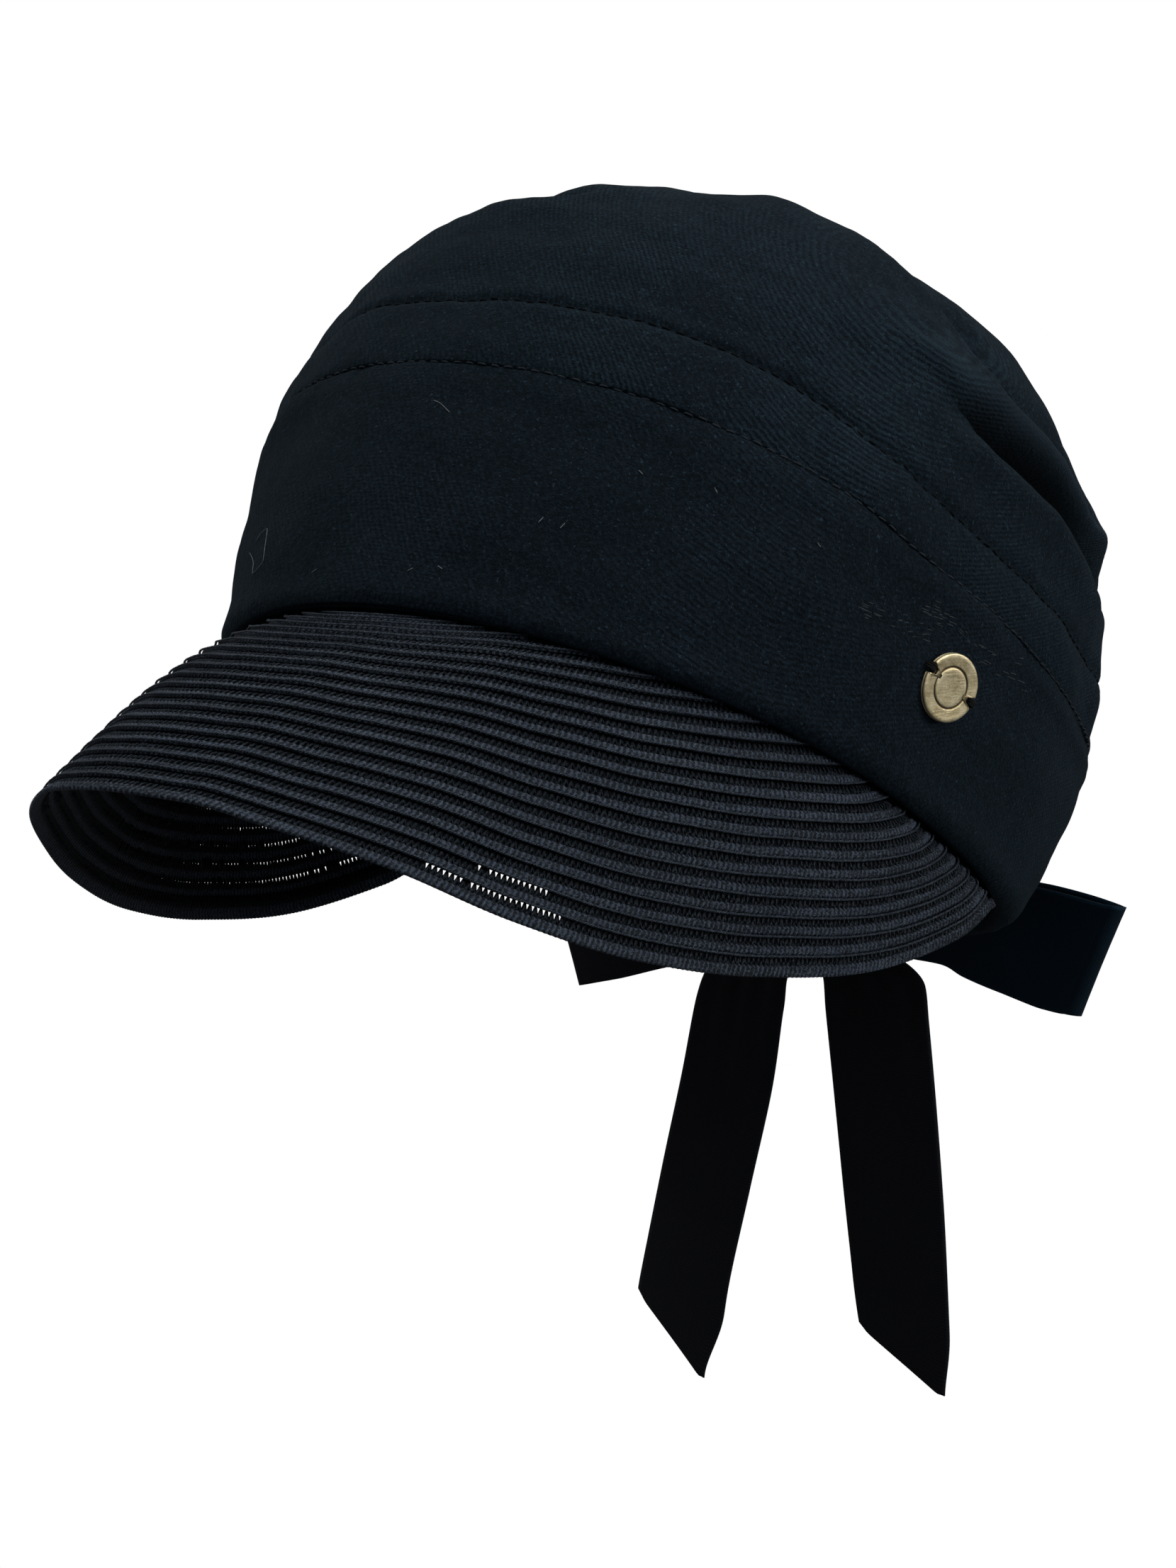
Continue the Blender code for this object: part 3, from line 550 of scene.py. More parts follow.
def knit_material(name, dark, light, rib_strength, painted_fold_shade=False):
    """Fine rib knit: rows of ribs 1.3 mm apart that fade in and out, grain, paler flecks and a little pile."""
    m, nt, b = new_material(name)
    uv = add(nt, "ShaderNodeUVMap", uv_map="knit").outputs[0]
    co = add(nt, "ShaderNodeTexCoord").outputs["Object"]
    sep = nt.nodes.new("ShaderNodeSeparateXYZ")
    nt.links.new(uv, sep.inputs[0])
    drift = noise(nt, co, 260.0, 2.0, 0.55)
    wander = noise(nt, co, 60.0, 1.0, 0.5)
    # uv is in units of 10 mm
    phase = math(nt, "MULTIPLY", sep.outputs[0], 2 * pi / (RIB_PITCH / 10.0))
    phase = math(nt, "ADD", phase, math(nt, "MULTIPLY", drift, 4.2))
    phase = math(nt, "ADD", phase, math(nt, "MULTIPLY", wander, 6.0))
    phase = math(nt, "ADD", phase, math(nt, "MULTIPLY", noise(nt, co, 820.0, 2.0, 0.6), 3.4))
    rib = math(nt, "MULTIPLY_ADD", math(nt, "SINE", phase), 0.5, 0.5)
    # short stitches along each rib
    link = math(nt, "MULTIPLY", sep.outputs[1], 2 * pi / 0.105)
    link = math(nt, "MULTIPLY_ADD", math(nt, "SINE", math(nt, "ADD", link, math(nt, "MULTIPLY", drift, 9.0))), 0.5, 0.5)
    zone = noise(nt, co, 24.0, 2.0, 0.5)
    mr = add(nt, "ShaderNodeMapRange", in_1=0.38, in_2=0.62, in_3=0.12, in_4=1.0)
    nt.links.new(zone, mr.inputs[0])
    zone = mr.outputs[0]
    grain = noise(nt, co, 2100.0, 3.0, 0.65)
    coarse = noise(nt, co, 900.0, 2.0, 0.6)
    fleck = noise(nt, co, 1500.0, 1.0, 0.4)
    height = math(nt, "MULTIPLY", math(nt, "MULTIPLY", rib, zone), rib_strength)
    height = math(nt, "MULTIPLY_ADD", math(nt, "MULTIPLY", link, zone), 0.16, height)
    height = math(nt, "MULTIPLY_ADD", grain, 1.05, height)
    height = math(nt, "MULTIPLY_ADD", coarse, 1.0, height)
    bump = add(nt, "ShaderNodeBump", in_Strength=0.85, in_Distance=0.00045)
    nt.links.new(height, bump.inputs["Height"])
    nt.links.new(bump.outputs[0], b.inputs["Normal"])
    # painted shade in the rib grooves: the rib term makes the colour darker between the ribs and lighter on them; grain
    # and coarse noise are random tone
    tone = math(nt, "MULTIPLY_ADD", math(nt, "MULTIPLY", rib, zone), 0.06 + 0.16 * rib_strength, math(nt, "MULTIPLY_ADD", grain, 0.45, math(nt, "MULTIPLY", coarse, 0.40)))
    base = ramp(nt, tone, [(0.40, dark), (0.61, light)])
    area = noise(nt, co, 9.0, 2.0, 0.5)
    teal = tuple(x * y for x, y in zip(light, (0.80, 1.08, 1.00)))
    blue = tuple(x * y for x, y in zip(light, (1.02, 0.90, 1.06)))
    tint = ramp(nt, area, [(0.40, tuple(min(1, 1.35 * c / max(light)) for c in teal)), (0.60, tuple(min(1, 1.35 * c / max(light)) for c in blue))])
    base = mix_rgb(nt, 0.35, base, tint, "MULTIPLY")
    spot = ramp(nt, fleck, [(0.665, (0, 0, 0)), (0.74, (1, 1, 1))])
    base = mix_rgb(nt, math(nt, "MULTIPLY", spot, 0.40), base, tuple(3.4 * c for c in light))
    # painted shade and painted highlight: the colour darkens to near black in the roll's recess and turns paler along
    # the roll's crest
    if painted_fold_shade:                                          # deep in the recess the cloth is darker, on the crest it is a little paler
        painted_shade_and_highlight = nt.nodes.new("ShaderNodeSeparateXYZ")
        nt.links.new(add(nt, "ShaderNodeUVMap", uv_map="along").outputs[0], painted_shade_and_highlight.inputs[0])
        base = mix_rgb(nt, painted_shade_and_highlight.outputs[0], base, tuple(0.22 * c for c in dark))
        base = mix_rgb(nt, painted_shade_and_highlight.outputs[1], base, tuple(1.5 * c for c in light))
    nt.links.new(base, b.inputs["Base Color"])
    r = add(nt, "ShaderNodeMapRange", in_3=0.78, in_4=0.95)
    nt.links.new(grain, r.inputs[0])
    nt.links.new(r.outputs[0], b.inputs["Roughness"])
    set_const(b, Specular_IOR_Level=0.09, Sheen_Weight=0.025, Sheen_Roughness=0.45, Sheen_Tint=(0.45, 0.75, 1.0, 1.0))
    return m


def braid_material(name, dark, light, rough, period=0.9, painted_gap_shade=False):
    """Glossy synthetic strands: fine lines along the strand, brightness that wanders from bundle to bundle."""
    m, nt, b = new_material(name)
    uv = add(nt, "ShaderNodeUVMap", uv_map="along").outputs[0]
    co = add(nt, "ShaderNodeTexCoord").outputs["Object"]
    sep = nt.nodes.new("ShaderNodeSeparateXYZ")
    nt.links.new(uv, sep.inputs[0])
    drift = noise(nt, co, 420.0, 2.0, 0.6)
    # chevron of the plait: u runs along the row, v across it
    side = math(nt, "ABSOLUTE", math(nt, "SUBTRACT", sep.outputs[1], 0.5))
    ph = math(nt, "MULTIPLY_ADD", side, 1.5, sep.outputs[0])
    ph = math(nt, "MULTIPLY", math(nt, "ADD", ph, math(nt, "MULTIPLY", drift, 0.55)), 2 * pi / period)
    plait = math(nt, "MULTIPLY_ADD", math(nt, "SINE", ph), 0.5, 0.5)
    strand = noise(nt, co, 2600.0, 2.0, 0.6)
    patch = noise(nt, co, 45.0, 2.0, 0.55)
    bundle = noise(nt, co, 1500.0, 2.0, 0.6)
    tone = math(nt, "MULTIPLY_ADD", plait, 0.16, math(nt, "MULTIPLY_ADD", strand, 0.24, math(nt, "MULTIPLY", bundle, 0.60)))
    base = ramp(nt, tone, [(0.45, dark), (0.60, light)])
    base = mix_rgb(nt, 0.5, base, ramp(nt, patch, [(0.35, (0.55, 0.60, 0.70)), (0.65, (1.0, 1.0, 1.0))]), "MULTIPLY")
    # painted shade: the part of each row that runs in under the next row is darkened to near black
    if painted_gap_shade:
        base = mix_rgb(nt, 1.0, base, ramp(nt, sep.outputs[1], [(0.61, (1.0, 1.0, 1.0)), (0.71, (0.05, 0.05, 0.055))]), "MULTIPLY")
    nt.links.new(base, b.inputs["Base Color"])
    height = math(nt, "MULTIPLY_ADD", plait, 0.55, math(nt, "MULTIPLY_ADD", strand, 0.9, math(nt, "MULTIPLY", bundle, 0.7)))
    bump = add(nt, "ShaderNodeBump", in_Strength=0.95, in_Distance=0.00055)
    nt.links.new(height, bump.inputs["Height"])
    nt.links.new(bump.outputs[0], b.inputs["Normal"])
    r = add(nt, "ShaderNodeMapRange", in_3=rough - 0.08, in_4=rough + 0.12)
    nt.links.new(strand, r.inputs[0])
    nt.links.new(r.outputs[0], b.inputs["Roughness"])
    set_const(b, Specular_IOR_Level=0.28, Specular_Tint=(0.78, 0.90, 1.0, 1.0))
    return m


def ribbon_material(name, dark, light):
    """Ribbon with fine cross ribs and a soft edge."""
    m, nt, b = new_material(name)
    uv = add(nt, "ShaderNodeUVMap", uv_map="along").outputs[0]
    co = add(nt, "ShaderNodeTexCoord").outputs["Object"]
    sep = nt.nodes.new("ShaderNodeSeparateXYZ")
    nt.links.new(uv, sep.inputs[0])
    fine = noise(nt, co, 1800.0, 3.0, 0.6)
    soft = noise(nt, co, 55.0, 2.0, 0.5)
    cross = math(nt, "MULTIPLY_ADD", math(nt, "SINE", math(nt, "MULTIPLY_ADD", sep.outputs[0], 2 * pi / 0.62, math(nt, "MULTIPLY", fine, 1.6))), 0.5, 0.5)
    edge_near = math(nt, "ABSOLUTE", math(nt, "SUBTRACT", sep.outputs[1], 0.5))
    edge_line = ramp(nt, edge_near, [(0.468, (0, 0, 0)), (0.482, (1, 1, 1))])
    tone = math(nt, "MULTIPLY_ADD", cross, 0.35, math(nt, "MULTIPLY", fine, 0.65))
    base = ramp(nt, tone, [(0.25, dark), (0.85, light)])
    base = mix_rgb(nt, math(nt, "MULTIPLY", edge_line, 0.5), base, tuple(1.7 * c for c in light))
    base = mix_rgb(nt, 0.4, base, ramp(nt, soft, [(0.35, (0.6, 0.6, 0.65)), (0.65, (1.0, 1.0, 1.0))]), "MULTIPLY")
    nt.links.new(base, b.inputs["Base Color"])
    height = math(nt, "MULTIPLY_ADD", cross, 0.5, math(nt, "MULTIPLY", fine, 0.6))
    bump = add(nt, "ShaderNodeBump", in_Strength=0.6, in_Distance=0.00015)
    nt.links.new(height, bump.inputs["Height"])
    nt.links.new(bump.outputs[0], b.inputs["Normal"])
    set_const(b, Roughness=0.72, Specular_IOR_Level=0.12, Sheen_Weight=0.02, Sheen_Roughness=0.4)
    return m


def brass_material(name):
    """Aged brass: worn pale on the high places, brown in the low ones, with fine scratches."""
    m, nt, b = new_material(name)
    co = add(nt, "ShaderNodeTexCoord").outputs["Object"]
    uv = add(nt, "ShaderNodeUVMap", uv_map="along").outputs[0]
    sep = nt.nodes.new("ShaderNodeSeparateXYZ")
    nt.links.new(uv, sep.inputs[0])
    cloud = noise(nt, co, 320.0, 4.0, 0.6)
    pits = noise(nt, co, 2400.0, 2.0, 0.6)
    turned = noise(nt, co, 700.0, 2.0, 0.5, 0.0, (1.0, 0.25, 3.0))
    wear = math(nt, "MULTIPLY_ADD", cloud, 0.7, math(nt, "MULTIPLY", pits, 0.3))
    base = ramp(nt, wear, [(0.30, (0.42, 0.335, 0.180)), (0.48, (0.66, 0.560, 0.340)), (0.68, (0.84, 0.750, 0.520))])
    low = sep.outputs[1]                                # 1 on the high places, 0 in the grooves
    base = mix_rgb(nt, low, (0.075, 0.052, 0.026), base)
    nt.links.new(base, b.inputs["Base Color"])
    r = add(nt, "ShaderNodeMapRange", in_3=0.30, in_4=0.52)
    nt.links.new(wear, r.inputs[0])
    nt.links.new(r.outputs[0], b.inputs["Roughness"])
    bump = add(nt, "ShaderNodeBump", in_Strength=0.35, in_Distance=0.00008)
    nt.links.new(math(nt, "ADD", pits, turned), bump.inputs["Height"])
    nt.links.new(bump.outputs[0], b.inputs["Normal"])
    set_const(b, Metallic=1.0)
    return m


def thread_material(name, colour, rough, spec=0.3, twist=2600.0):
    m, nt, b = new_material(name)
    co = add(nt, "ShaderNodeTexCoord").outputs["Object"]
    ply = noise(nt, co, twist, 2.0, 0.6)
    base = ramp(nt, ply, [(0.30, tuple(0.55 * c for c in colour)), (0.70, tuple(1.5 * c for c in colour))])
    nt.links.new(base, b.inputs["Base Color"])
    bump = add(nt, "ShaderNodeBump", in_Strength=0.5, in_Distance=0.0001)
    nt.links.new(ply, bump.inputs["Height"])
    nt.links.new(bump.outputs[0], b.inputs["Normal"])
    set_const(b, Roughness=rough, Specular_IOR_Level=spec)
    return m


NAVY = knit_material("navy_rib_knit", (0.0018, 0.0046, 0.0074), (0.0102, 0.0180, 0.0262), 0.20)
# the top's knit carries painted shade in the recess and a painted highlight on the roll's crest
NAVY_TOP = knit_material("navy_rib_knit_top", (0.0020, 0.0050, 0.0080), (0.0116, 0.0204, 0.0290), 0.60, True)
# BRAID has painted shade on the part of each row that runs in under the next row
BRAID = braid_material("navy_sewn_braid", (0.0018, 0.0030, 0.0054), (0.0600, 0.0770, 0.1080), 0.52, 1.4, True)
CORD = braid_material("navy_sewn_braid_cord", (0.0080, 0.0120, 0.0190), (0.0640, 0.0800, 0.1050), 0.45, 0.7)
# LACE is a darker copy of the braid's colours: painted shade on the teeth that lie in the gaps between rows
LACE = braid_material("navy_sewn_braid_lace", (0.0016, 0.0026, 0.0044), (0.0200, 0.0270, 0.0390), 0.52, 0.8)
RIBBON = ribbon_material("black_ribbon", (0.0038, 0.0042, 0.0058), (0.0098, 0.0106, 0.0138))
RIBBON_LOOP = ribbon_material("black_ribbon_loop", (0.0010, 0.0064, 0.0120), (0.0030, 0.0150, 0.0270))
BRASS = brass_material("aged_brass")
THREAD = thread_material("black_thread", (0.0040, 0.0036, 0.0034), 0.75, 0.2)
STITCH = thread_material("navy_stitch_thread", (0.0016, 0.0024, 0.0036), 0.75, 0.1)
STITCH_LOW = thread_material("navy_stitch_thread_low", (0.0085, 0.0135, 0.0190), 0.65, 0.2)
RUBBED_MAT = thread_material("rubbed_fibre", (0.055, 0.066, 0.072), 0.85, 0.1)
LINT = thread_material("pale_lint", (0.17, 0.19, 0.20), 0.80, 0.1)


def place(ob, slot, *nodes):
    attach(ob, "root")
    if nodes:
        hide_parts(*nodes)
    return ob


# ---------------------------------------------------------------- head band
N_COL = 480
PSI = np.arange(N_COL) * 360.0 / N_COL
LOWER = line_t(PSI, 1)
UP = out_of_rim(np.array([0.0, 0.0, 1.0]))


def shell(psi, t, off, relief):
    """Rows of points: psi (cols), t (rows, cols), offset out from the bare surface (rows, cols)."""
    psi = np.broadcast_to(psi, t.shape)
    B, N = cloth_base(psi, t), cloth_normal(psi, t)
    return B + N * (off + (relief(psi, t, B, N) if relief else 0.0))[..., None]


def band_relief(psi, t, P, N):
    lo = line_t(psi, 1)
    r = t / lo
    arc = psi * 1.75
    near = np.exp(-((t - lo) / 0.024) ** 2)
    g = np.random.default_rng(7)
    pucker = sum(np.sin(2 * pi * arc / L + ph) for L, ph in zip((4.9, 7.3, 12.1), g.uniform(0, 6.28, 3))) / 2.2
    d = 0.15 * near * pucker
    # puff just under the line, fuller towards the back where the cloth stands proud
    back = step(96, 112, np.abs(wrap(psi)))
    d = d + (0.45 + 0.5 * back) * np.exp(-((r - 0.93) / 0.055) ** 2)
    # bottom: the cloth rounds over the hem and bulges a little above the peak
    d = d + 0.9 * np.exp(-((t - 0.045) / 0.035) ** 2)
    d = d + (0.36 * wobble(P, 52, 21) + 0.22 * wobble(P, 26, 22)) * step(0.0, 0.12, t) + 0.06 * wobble(P, 9, 23)
    return d


def profile_band():
    """Rows from the inner edge at the top, down inside, round the hem and up outside."""
    rows = []
    # inside, top to bottom: share of the height, depth of the inner face
    for r in (1.0, 0.975, 0.95, 0.90, 0.78, 0.62, 0.46, 0.36, 0.28, 0.20, 0.14, 0.09, 0.06):
        if r > 0.96:
            depth = 0.85
        else:
            depth = BAND_WALL + (HEM_WALL - BAND_WALL) * float(1 - step(0.18, 0.34, r))
        rows.append((r, None, -depth))
    h = HEM_WALL
    for a in np.linspace(-80, 80, 9):                   # rounded hem: half a circle of the wall's thickness
        rows.append((None, 0.5 * h * (1 - cos(radians(a))) + 0.05, -0.5 * h + 0.5 * h * sin(radians(a))))
    for r in np.concatenate([np.linspace(0.035, 0.16, 10), np.linspace(0.175, 0.80, 34), np.linspace(0.815, 0.985, 18)]):
        rows.append((r, None, 0.0))
    rows.append((0.994, None, -0.16))
    rows.append((1.0, None, -0.40))
    return rows


rows = profile_band()
T, OFF = [], []
PER_T = 1.0 / np.linalg.norm((cloth_base(PSI, np.full(N_COL, 0.03)) - cloth_base(PSI, np.full(N_COL, 0.0))) / 0.03, axis=-1)
for r, mm, off in rows:
    T.append(LOWER * r if mm is None else mm * PER_T)
    OFF.append(np.full(N_COL, off))
T, OFF = np.array(T), np.array(OFF)
inside = OFF < -0.6
G = shell(PSI, T, OFF, None)
B, N = cloth_base(np.broadcast_to(PSI, T.shape), T), cloth_normal(np.broadcast_to(PSI, T.shape), T)
fine = band_relief(np.broadcast_to(PSI, T.shape), T, B, N)
share = np.clip((OFF + 1.4) / 1.4, 0, 1)
G = G + N * (fine * share)[..., None]
band = make("band_cloth", G, ring_quads(len(G), N_COL, close_rows=True), mat=NAVY, knit=knit_uv(G).reshape(-1, 2))
place(band, "navy_rib_knit", "head_band")

# ---------------------------------------------------------------- crown top
rows_t = np.concatenate([[0.0, 0.0012, 0.0024, 0.0036, 0.0052, 0.0075, 0.012], np.linspace(0.018, 0.16, 16), np.linspace(0.168, 0.62, 74)[0:], np.linspace(0.63, 0.93, 32), [0.95, 0.965, 0.98, 0.99]])
T = LOWER[None] + (1 - LOWER[None]) * rows_t[:, None]
PP = np.broadcast_to(PSI, T.shape)
B, N = cloth_base(PP, T), cloth_normal(PP, T)
D = fold_height(PP, T) + cloth_relief(PP, T, B, N) + crease_relief(B, N)
# the lower edge runs in under the band's upper edge
D = D * step(0, 0.006, rows_t)[:, None] - 1.25 * (1 - step(0.0006, 0.0050, rows_t))[:, None]
# a shallow dip along the seam
D = D - 0.30 * np.exp(-((rows_t - 0.004) / 0.010) ** 2)[:, None] * step(0.0, 0.004, rows_t)[:, None]
OUT = B + N * D[..., None]
# the roll hangs over its recess a little
over, ends = side_distance(B, N, [(62, 0.662), (72, 0.656), (83, 0.654), (94, 0.655), (105, 0.656), (118, 0.656)])
sag = 3.2 * np.exp(-((over - 0.3) / 3.9) ** 2) * step(-4, 20, ends)
OUT = OUT - UP * sag[..., None]
tongue_t = LOWER - 0.011
tongue = shell(PSI, np.stack([tongue_t, tongue_t + 0.0055]), np.full((2, N_COL), -1.25), None)
OUT = np.concatenate([tongue, OUT])
# inner face, coarser, never closer to the outer face than the cloth is thick
from_edge = np.concatenate([np.full((2, N_COL), -1.25), D])
low_d = from_edge.copy()
for _ in range(3):
    pad = np.pad(low_d, ((1, 1), (0, 0)), mode="edge")
    low_d = np.minimum(np.minimum(pad[:-2], pad[2:]), low_d)
    low_d = np.minimum(np.minimum(np.roll(low_d, 1, 1), np.roll(low_d, -1, 1)), low_d)
TT = np.concatenate([np.stack([tongue_t, tongue_t + 0.0055]), T])
pick = np.arange(0, len(TT), 3)
if pick[-1] != len(TT) - 1:
    pick = np.append(pick, len(TT) - 1)
half = np.arange(0, N_COL, 2)
IN_T, IN_D = TT[pick][:, half], low_d[pick][:, half] - 1.0
IN_P = np.broadcast_to(PSI[half], IN_T.shape)
INN = cloth_base(IN_P, IN_T) + cloth_normal(IN_P, IN_T) * IN_D[..., None]
sag_full = np.concatenate([np.zeros((2, N_COL)), sag])
INN = INN - UP * sag_full[pick][:, half][..., None]
R, C = OUT.shape[0], N_COL
n_out = R * C
ri, ci = INN.shape[:2]
pole = cloth_base(np.array([0.0]), np.array([1.0]))[0]
verts = np.concatenate([OUT.reshape(-1, 3), INN.reshape(-1, 3), [pole - UP * 0.3, pole - UP * 1.6]])
quads = np.concatenate([ring_quads(R, C), ring_quads(ri, ci, n_out)[:, ::-1]])
c = np.arange(ci)
a0, a1, a2 = 2 * c, 2 * c + 1, (2 * c + 2) % C
b0, b1 = n_out + c, n_out + (c + 1) % ci
rim = np.concatenate([np.stack([a1, a0, b0], -1), np.stack([a1, b0, b1], -1), np.stack([a2, a1, b1], -1)])
k = np.arange(C)
cap_out = np.stack([(R - 1) * C + k, (R - 1) * C + (k + 1) % C, np.full(C, n_out + ri * ci)], -1)
cap_in = np.stack([n_out + (ri - 1) * ci + (c + 1) % ci, n_out + (ri - 1) * ci + c, np.full(ci, n_out + ri * ci + 1)], -1)
# painted shade in the recess under the roll and a painted highlight along the roll's crest, carried to the material in
# the 'along' uv
into, in_ends = side_distance(B, N, CREASES[3]["points"])
onto, on_ends = side_distance(B, N, CREASES[2]["points"])
painted_recess_shade = 0.95 * np.exp(-(into / np.where(into < 0, 4.0, 6.8)) ** 2) * step(-2, 12, in_ends)
painted_crest_highlight = 0.38 * np.exp(-((onto - 1.0) / 2.2) ** 2) * step(0, 16, on_ends)
painted_light_uv = np.zeros((len(verts), 2))
painted_light_uv[2 * C:2 * C + painted_recess_shade.size, 0] = painted_recess_shade.ravel()
painted_light_uv[2 * C:2 * C + painted_crest_highlight.size, 1] = painted_crest_highlight.ravel()
crown = make("crown_cloth", verts, quads, np.concatenate([rim, cap_out, cap_in]), NAVY_TOP, knit=knit_uv(verts), along=painted_light_uv)
place(crown, "navy_rib_knit_top", "crown_top")
CROWN_D, CROWN_T = D, T


# ---------------------------------------------------------------- topstitching


def tubes(paths, radius, sides=6, flat=1.0, normals=None, closed_ends=True):
    """Joined tubes: paths (n, m, 3), all with m points; returns verts, quads and tris."""
    P = np.asarray(paths, float)
    n, m = P.shape[:2]
    tang = unit(np.gradient(P, axis=1))
    ref = np.broadcast_to(np.array([0.31, 0.17, 0.93]), P.shape) if normals is None else normals
    s = unit(np.cross(tang, ref))
    o = unit(np.cross(s, tang))
    a = 2 * pi * np.arange(sides) / sides
    rad = np.broadcast_to(np.asarray(radius, float), (n, m))
    V = P[:, :, None] + rad[:, :, None, None] * (s[:, :, None] * np.cos(a)[None, None, :, None] + o[:, :, None] * np.sin(a)[None, None, :, None] * flat)
    base = (np.arange(n) * m * sides)[:, None, None]
    i, j = np.meshgrid(np.arange(m - 1), np.arange(sides), indexing="ij")
    q = np.stack([i * sides + j, i * sides + (j + 1) % sides, (i + 1) * sides + (j + 1) % sides, (i + 1) * sides + j], -1).reshape(1, -1, 4)
    quads = (q + base).reshape(-1, 4)
    tris = np.zeros((0, 3), int)
    if closed_ends:
        fan = np.array([[0, k + 1, k] for k in range(1, sides - 1)])[None]
        fan2 = np.array([[0, k, k + 1] for k in range(1, sides - 1)])[None] + (m - 1) * sides
        tris = np.concatenate([(fan + base).reshape(-1, 3), (fan2 + base).reshape(-1, 3)])
    return V.reshape(-1, 3), quads[:, ::-1], tris[:, ::-1]


def bulk(parts):
    """Join (verts, quads, tris) lots."""
    V, Q, T3, at = [], [], [], 0
    for v, q, t in parts:
        V.append(v); Q.append(q + at); T3.append(t + at)
        at += len(v)
    return np.concatenate(V), np.concatenate(Q), np.concatenate(T3)


def stitch_row(name, which, lift, pitch, length, rise, seed, mat):
    """One row of lockstitch: short arched stitches whose ends go into the cloth."""
    g = np.random.default_rng(seed)
    psi = np.linspace(0, 360, 3601)
    t = line_t(psi, which)
    path = cloth_base(psi, t + lift[0])
    run = np.concatenate([[0], np.cumsum(np.linalg.norm(np.diff(path, axis=0), axis=1))])
    count = int(run[-1] / pitch)
    mids = (np.arange(count) + 0.5) * run[-1] / count + g.normal(0, 0.10, count)
    m = 8
    u = np.linspace(-0.5, 0.5, m)
    P = []
    half = 0.5 * (length + g.normal(0, 0.10, count))
    at = mids[:, None] + 2 * u[None] * half[:, None]
    ps = np.interp(np.mod(at, run[-1]), run, psi)
    tt = line_t(ps, which) + lift[0] + g.normal(0, 0.0006, (count, 1)) + 0.0010 * u[None] * g.choice([-1, 1], (count, 1))
    B, N = cloth_base(ps, tt), cloth_normal(ps, tt)
    d = (fold_height(ps, tt) if which == 2 else 0.0) + lift[1] + rise * (1 - (2 * u[None]) ** 4) - 0.30 * (np.abs(2 * u[None]) > 0.99)
    if which == 2:
        d = d + cloth_relief(ps, tt, B, N) + crease_relief(B, N)
    V, Q, T3 = tubes(B + N * d[..., None], 0.25 * (1 - 0.35 * np.abs(2 * u) ** 3)[None], 6, 0.85, N)
    ob = make(name, V, Q, T3, mat)
    place(ob, "navy_rib_knit")
    return ob


stitch_row("stitches_lower", 1, (0.0006, -0.34), 3.35, 2.2, 0.36, 31, STITCH_LOW)
stitch_row("stitches_upper", 2, (0.0, 0.10), 3.35, 2.1, 0.26, 32, STITCH)

# ---------------------------------------------------------------- loose fibres and rubbed places
FIBRES = [
    # (psi, t) along each fibre
    [(2.2, 0.369), (3.0, 0.367), (5.2, 0.353)],
    [(-31.5, 0.179), (-27.8, 0.190), (-25.5, 0.129), (-29.2, 0.115), (-30.0, 0.134), (-33.8, 0.165)],
    [(33.0, 0.331), (33.7, 0.327)], [(6.8, 0.092), (7.5, 0.098)], [(11.2, 0.108), (12.0, 0.104)], [(-11.2, 0.085), (-10.3, 0.090)],
    [(23.2, 0.207), (23.6, 0.216)], [(26.2, 0.207), (26.6, 0.216)], [(42.8, 0.346), (43.4, 0.340)], [(57.8, 0.334), (58.4, 0.330)],
]
RUBBED = [[(66, 0.280), (70, 0.279), (74.5, 0.283), (79.5, 0.290)], [(83, 0.341), (87, 0.327), (93, 0.335), (99, 0.350)], [(75.5, 0.327), (81.5, 0.338)]]


def on_band(points, count, lift):
    pts = np.asarray(points, float)
    x = np.arange(len(pts))
    s = np.linspace(0, len(pts) - 1, count)
    psi, t = (smooth(x, pts[:, i], s) if len(pts) > 2 else np.interp(s, x, pts[:, i]) for i in (0, 1))
    B, N = cloth_base(psi, t), cloth_normal(psi, t)
    return B + N * (band_relief(psi, t, B, N) + lift)[..., None], N


lots = []
for i, line in enumerate(FIBRES):
    P, N = on_band(line, 6 * len(line), 0.16)
    lots.append(tubes(P[None], np.full((1, len(P)), 0.075), 4, 1.0, N[None]))
V, Q, T3 = bulk(lots)
place(make("lint_fibres", V, Q, T3, LINT), "navy_rib_knit")
g = np.random.default_rng(88)
lots = []
for line in RUBBED:
    pts = np.asarray(line, float)
    for _ in range(22):
        at_ = g.uniform(0, 1)
        half = 0.30 + g.uniform(0, 0.45)                # degrees, about 1 to 2.5 mm long in all
        mid = [np.interp(at_ * (len(pts) - 1), np.arange(len(pts)), pts[:, i]) for i in (0, 1)]
        slope = np.interp(min(at_ + 0.05, 1) * (len(pts) - 1), np.arange(len(pts)), pts[:, 1]) - np.interp(max(at_ - 0.05, 0) * (len(pts) - 1), np.arange(len(pts)), pts[:, 1])
        t_ = mid[1] + g.normal(0, 0.011)
        P, N = on_band([(mid[0] - half, t_ - slope * 0.4 - 0.001), (mid[0] + half, t_ + slope * 0.4 + 0.001)], 5, 0.03)
        lots.append(tubes(P[None], np.full((1, 5), g.uniform(0.05, 0.10)) * np.array([[0.4, 0.9, 1.0, 0.9, 0.4]]), 4, 0.6, N[None]))
V, Q, T3 = bulk(lots)
place(make("rubbed_fibres", V, Q, T3, RUBBED_MAT), "navy_rib_knit")

# ---------------------------------------------------------------- peak of sewn braid
ROW_MM = 91.0
MID = -0.9                                              # the braid lies in the middle of the CAD peak's wall
fine_phi = np.linspace(-PEAK_END, PEAK_END, 6001)
up_vec = UP


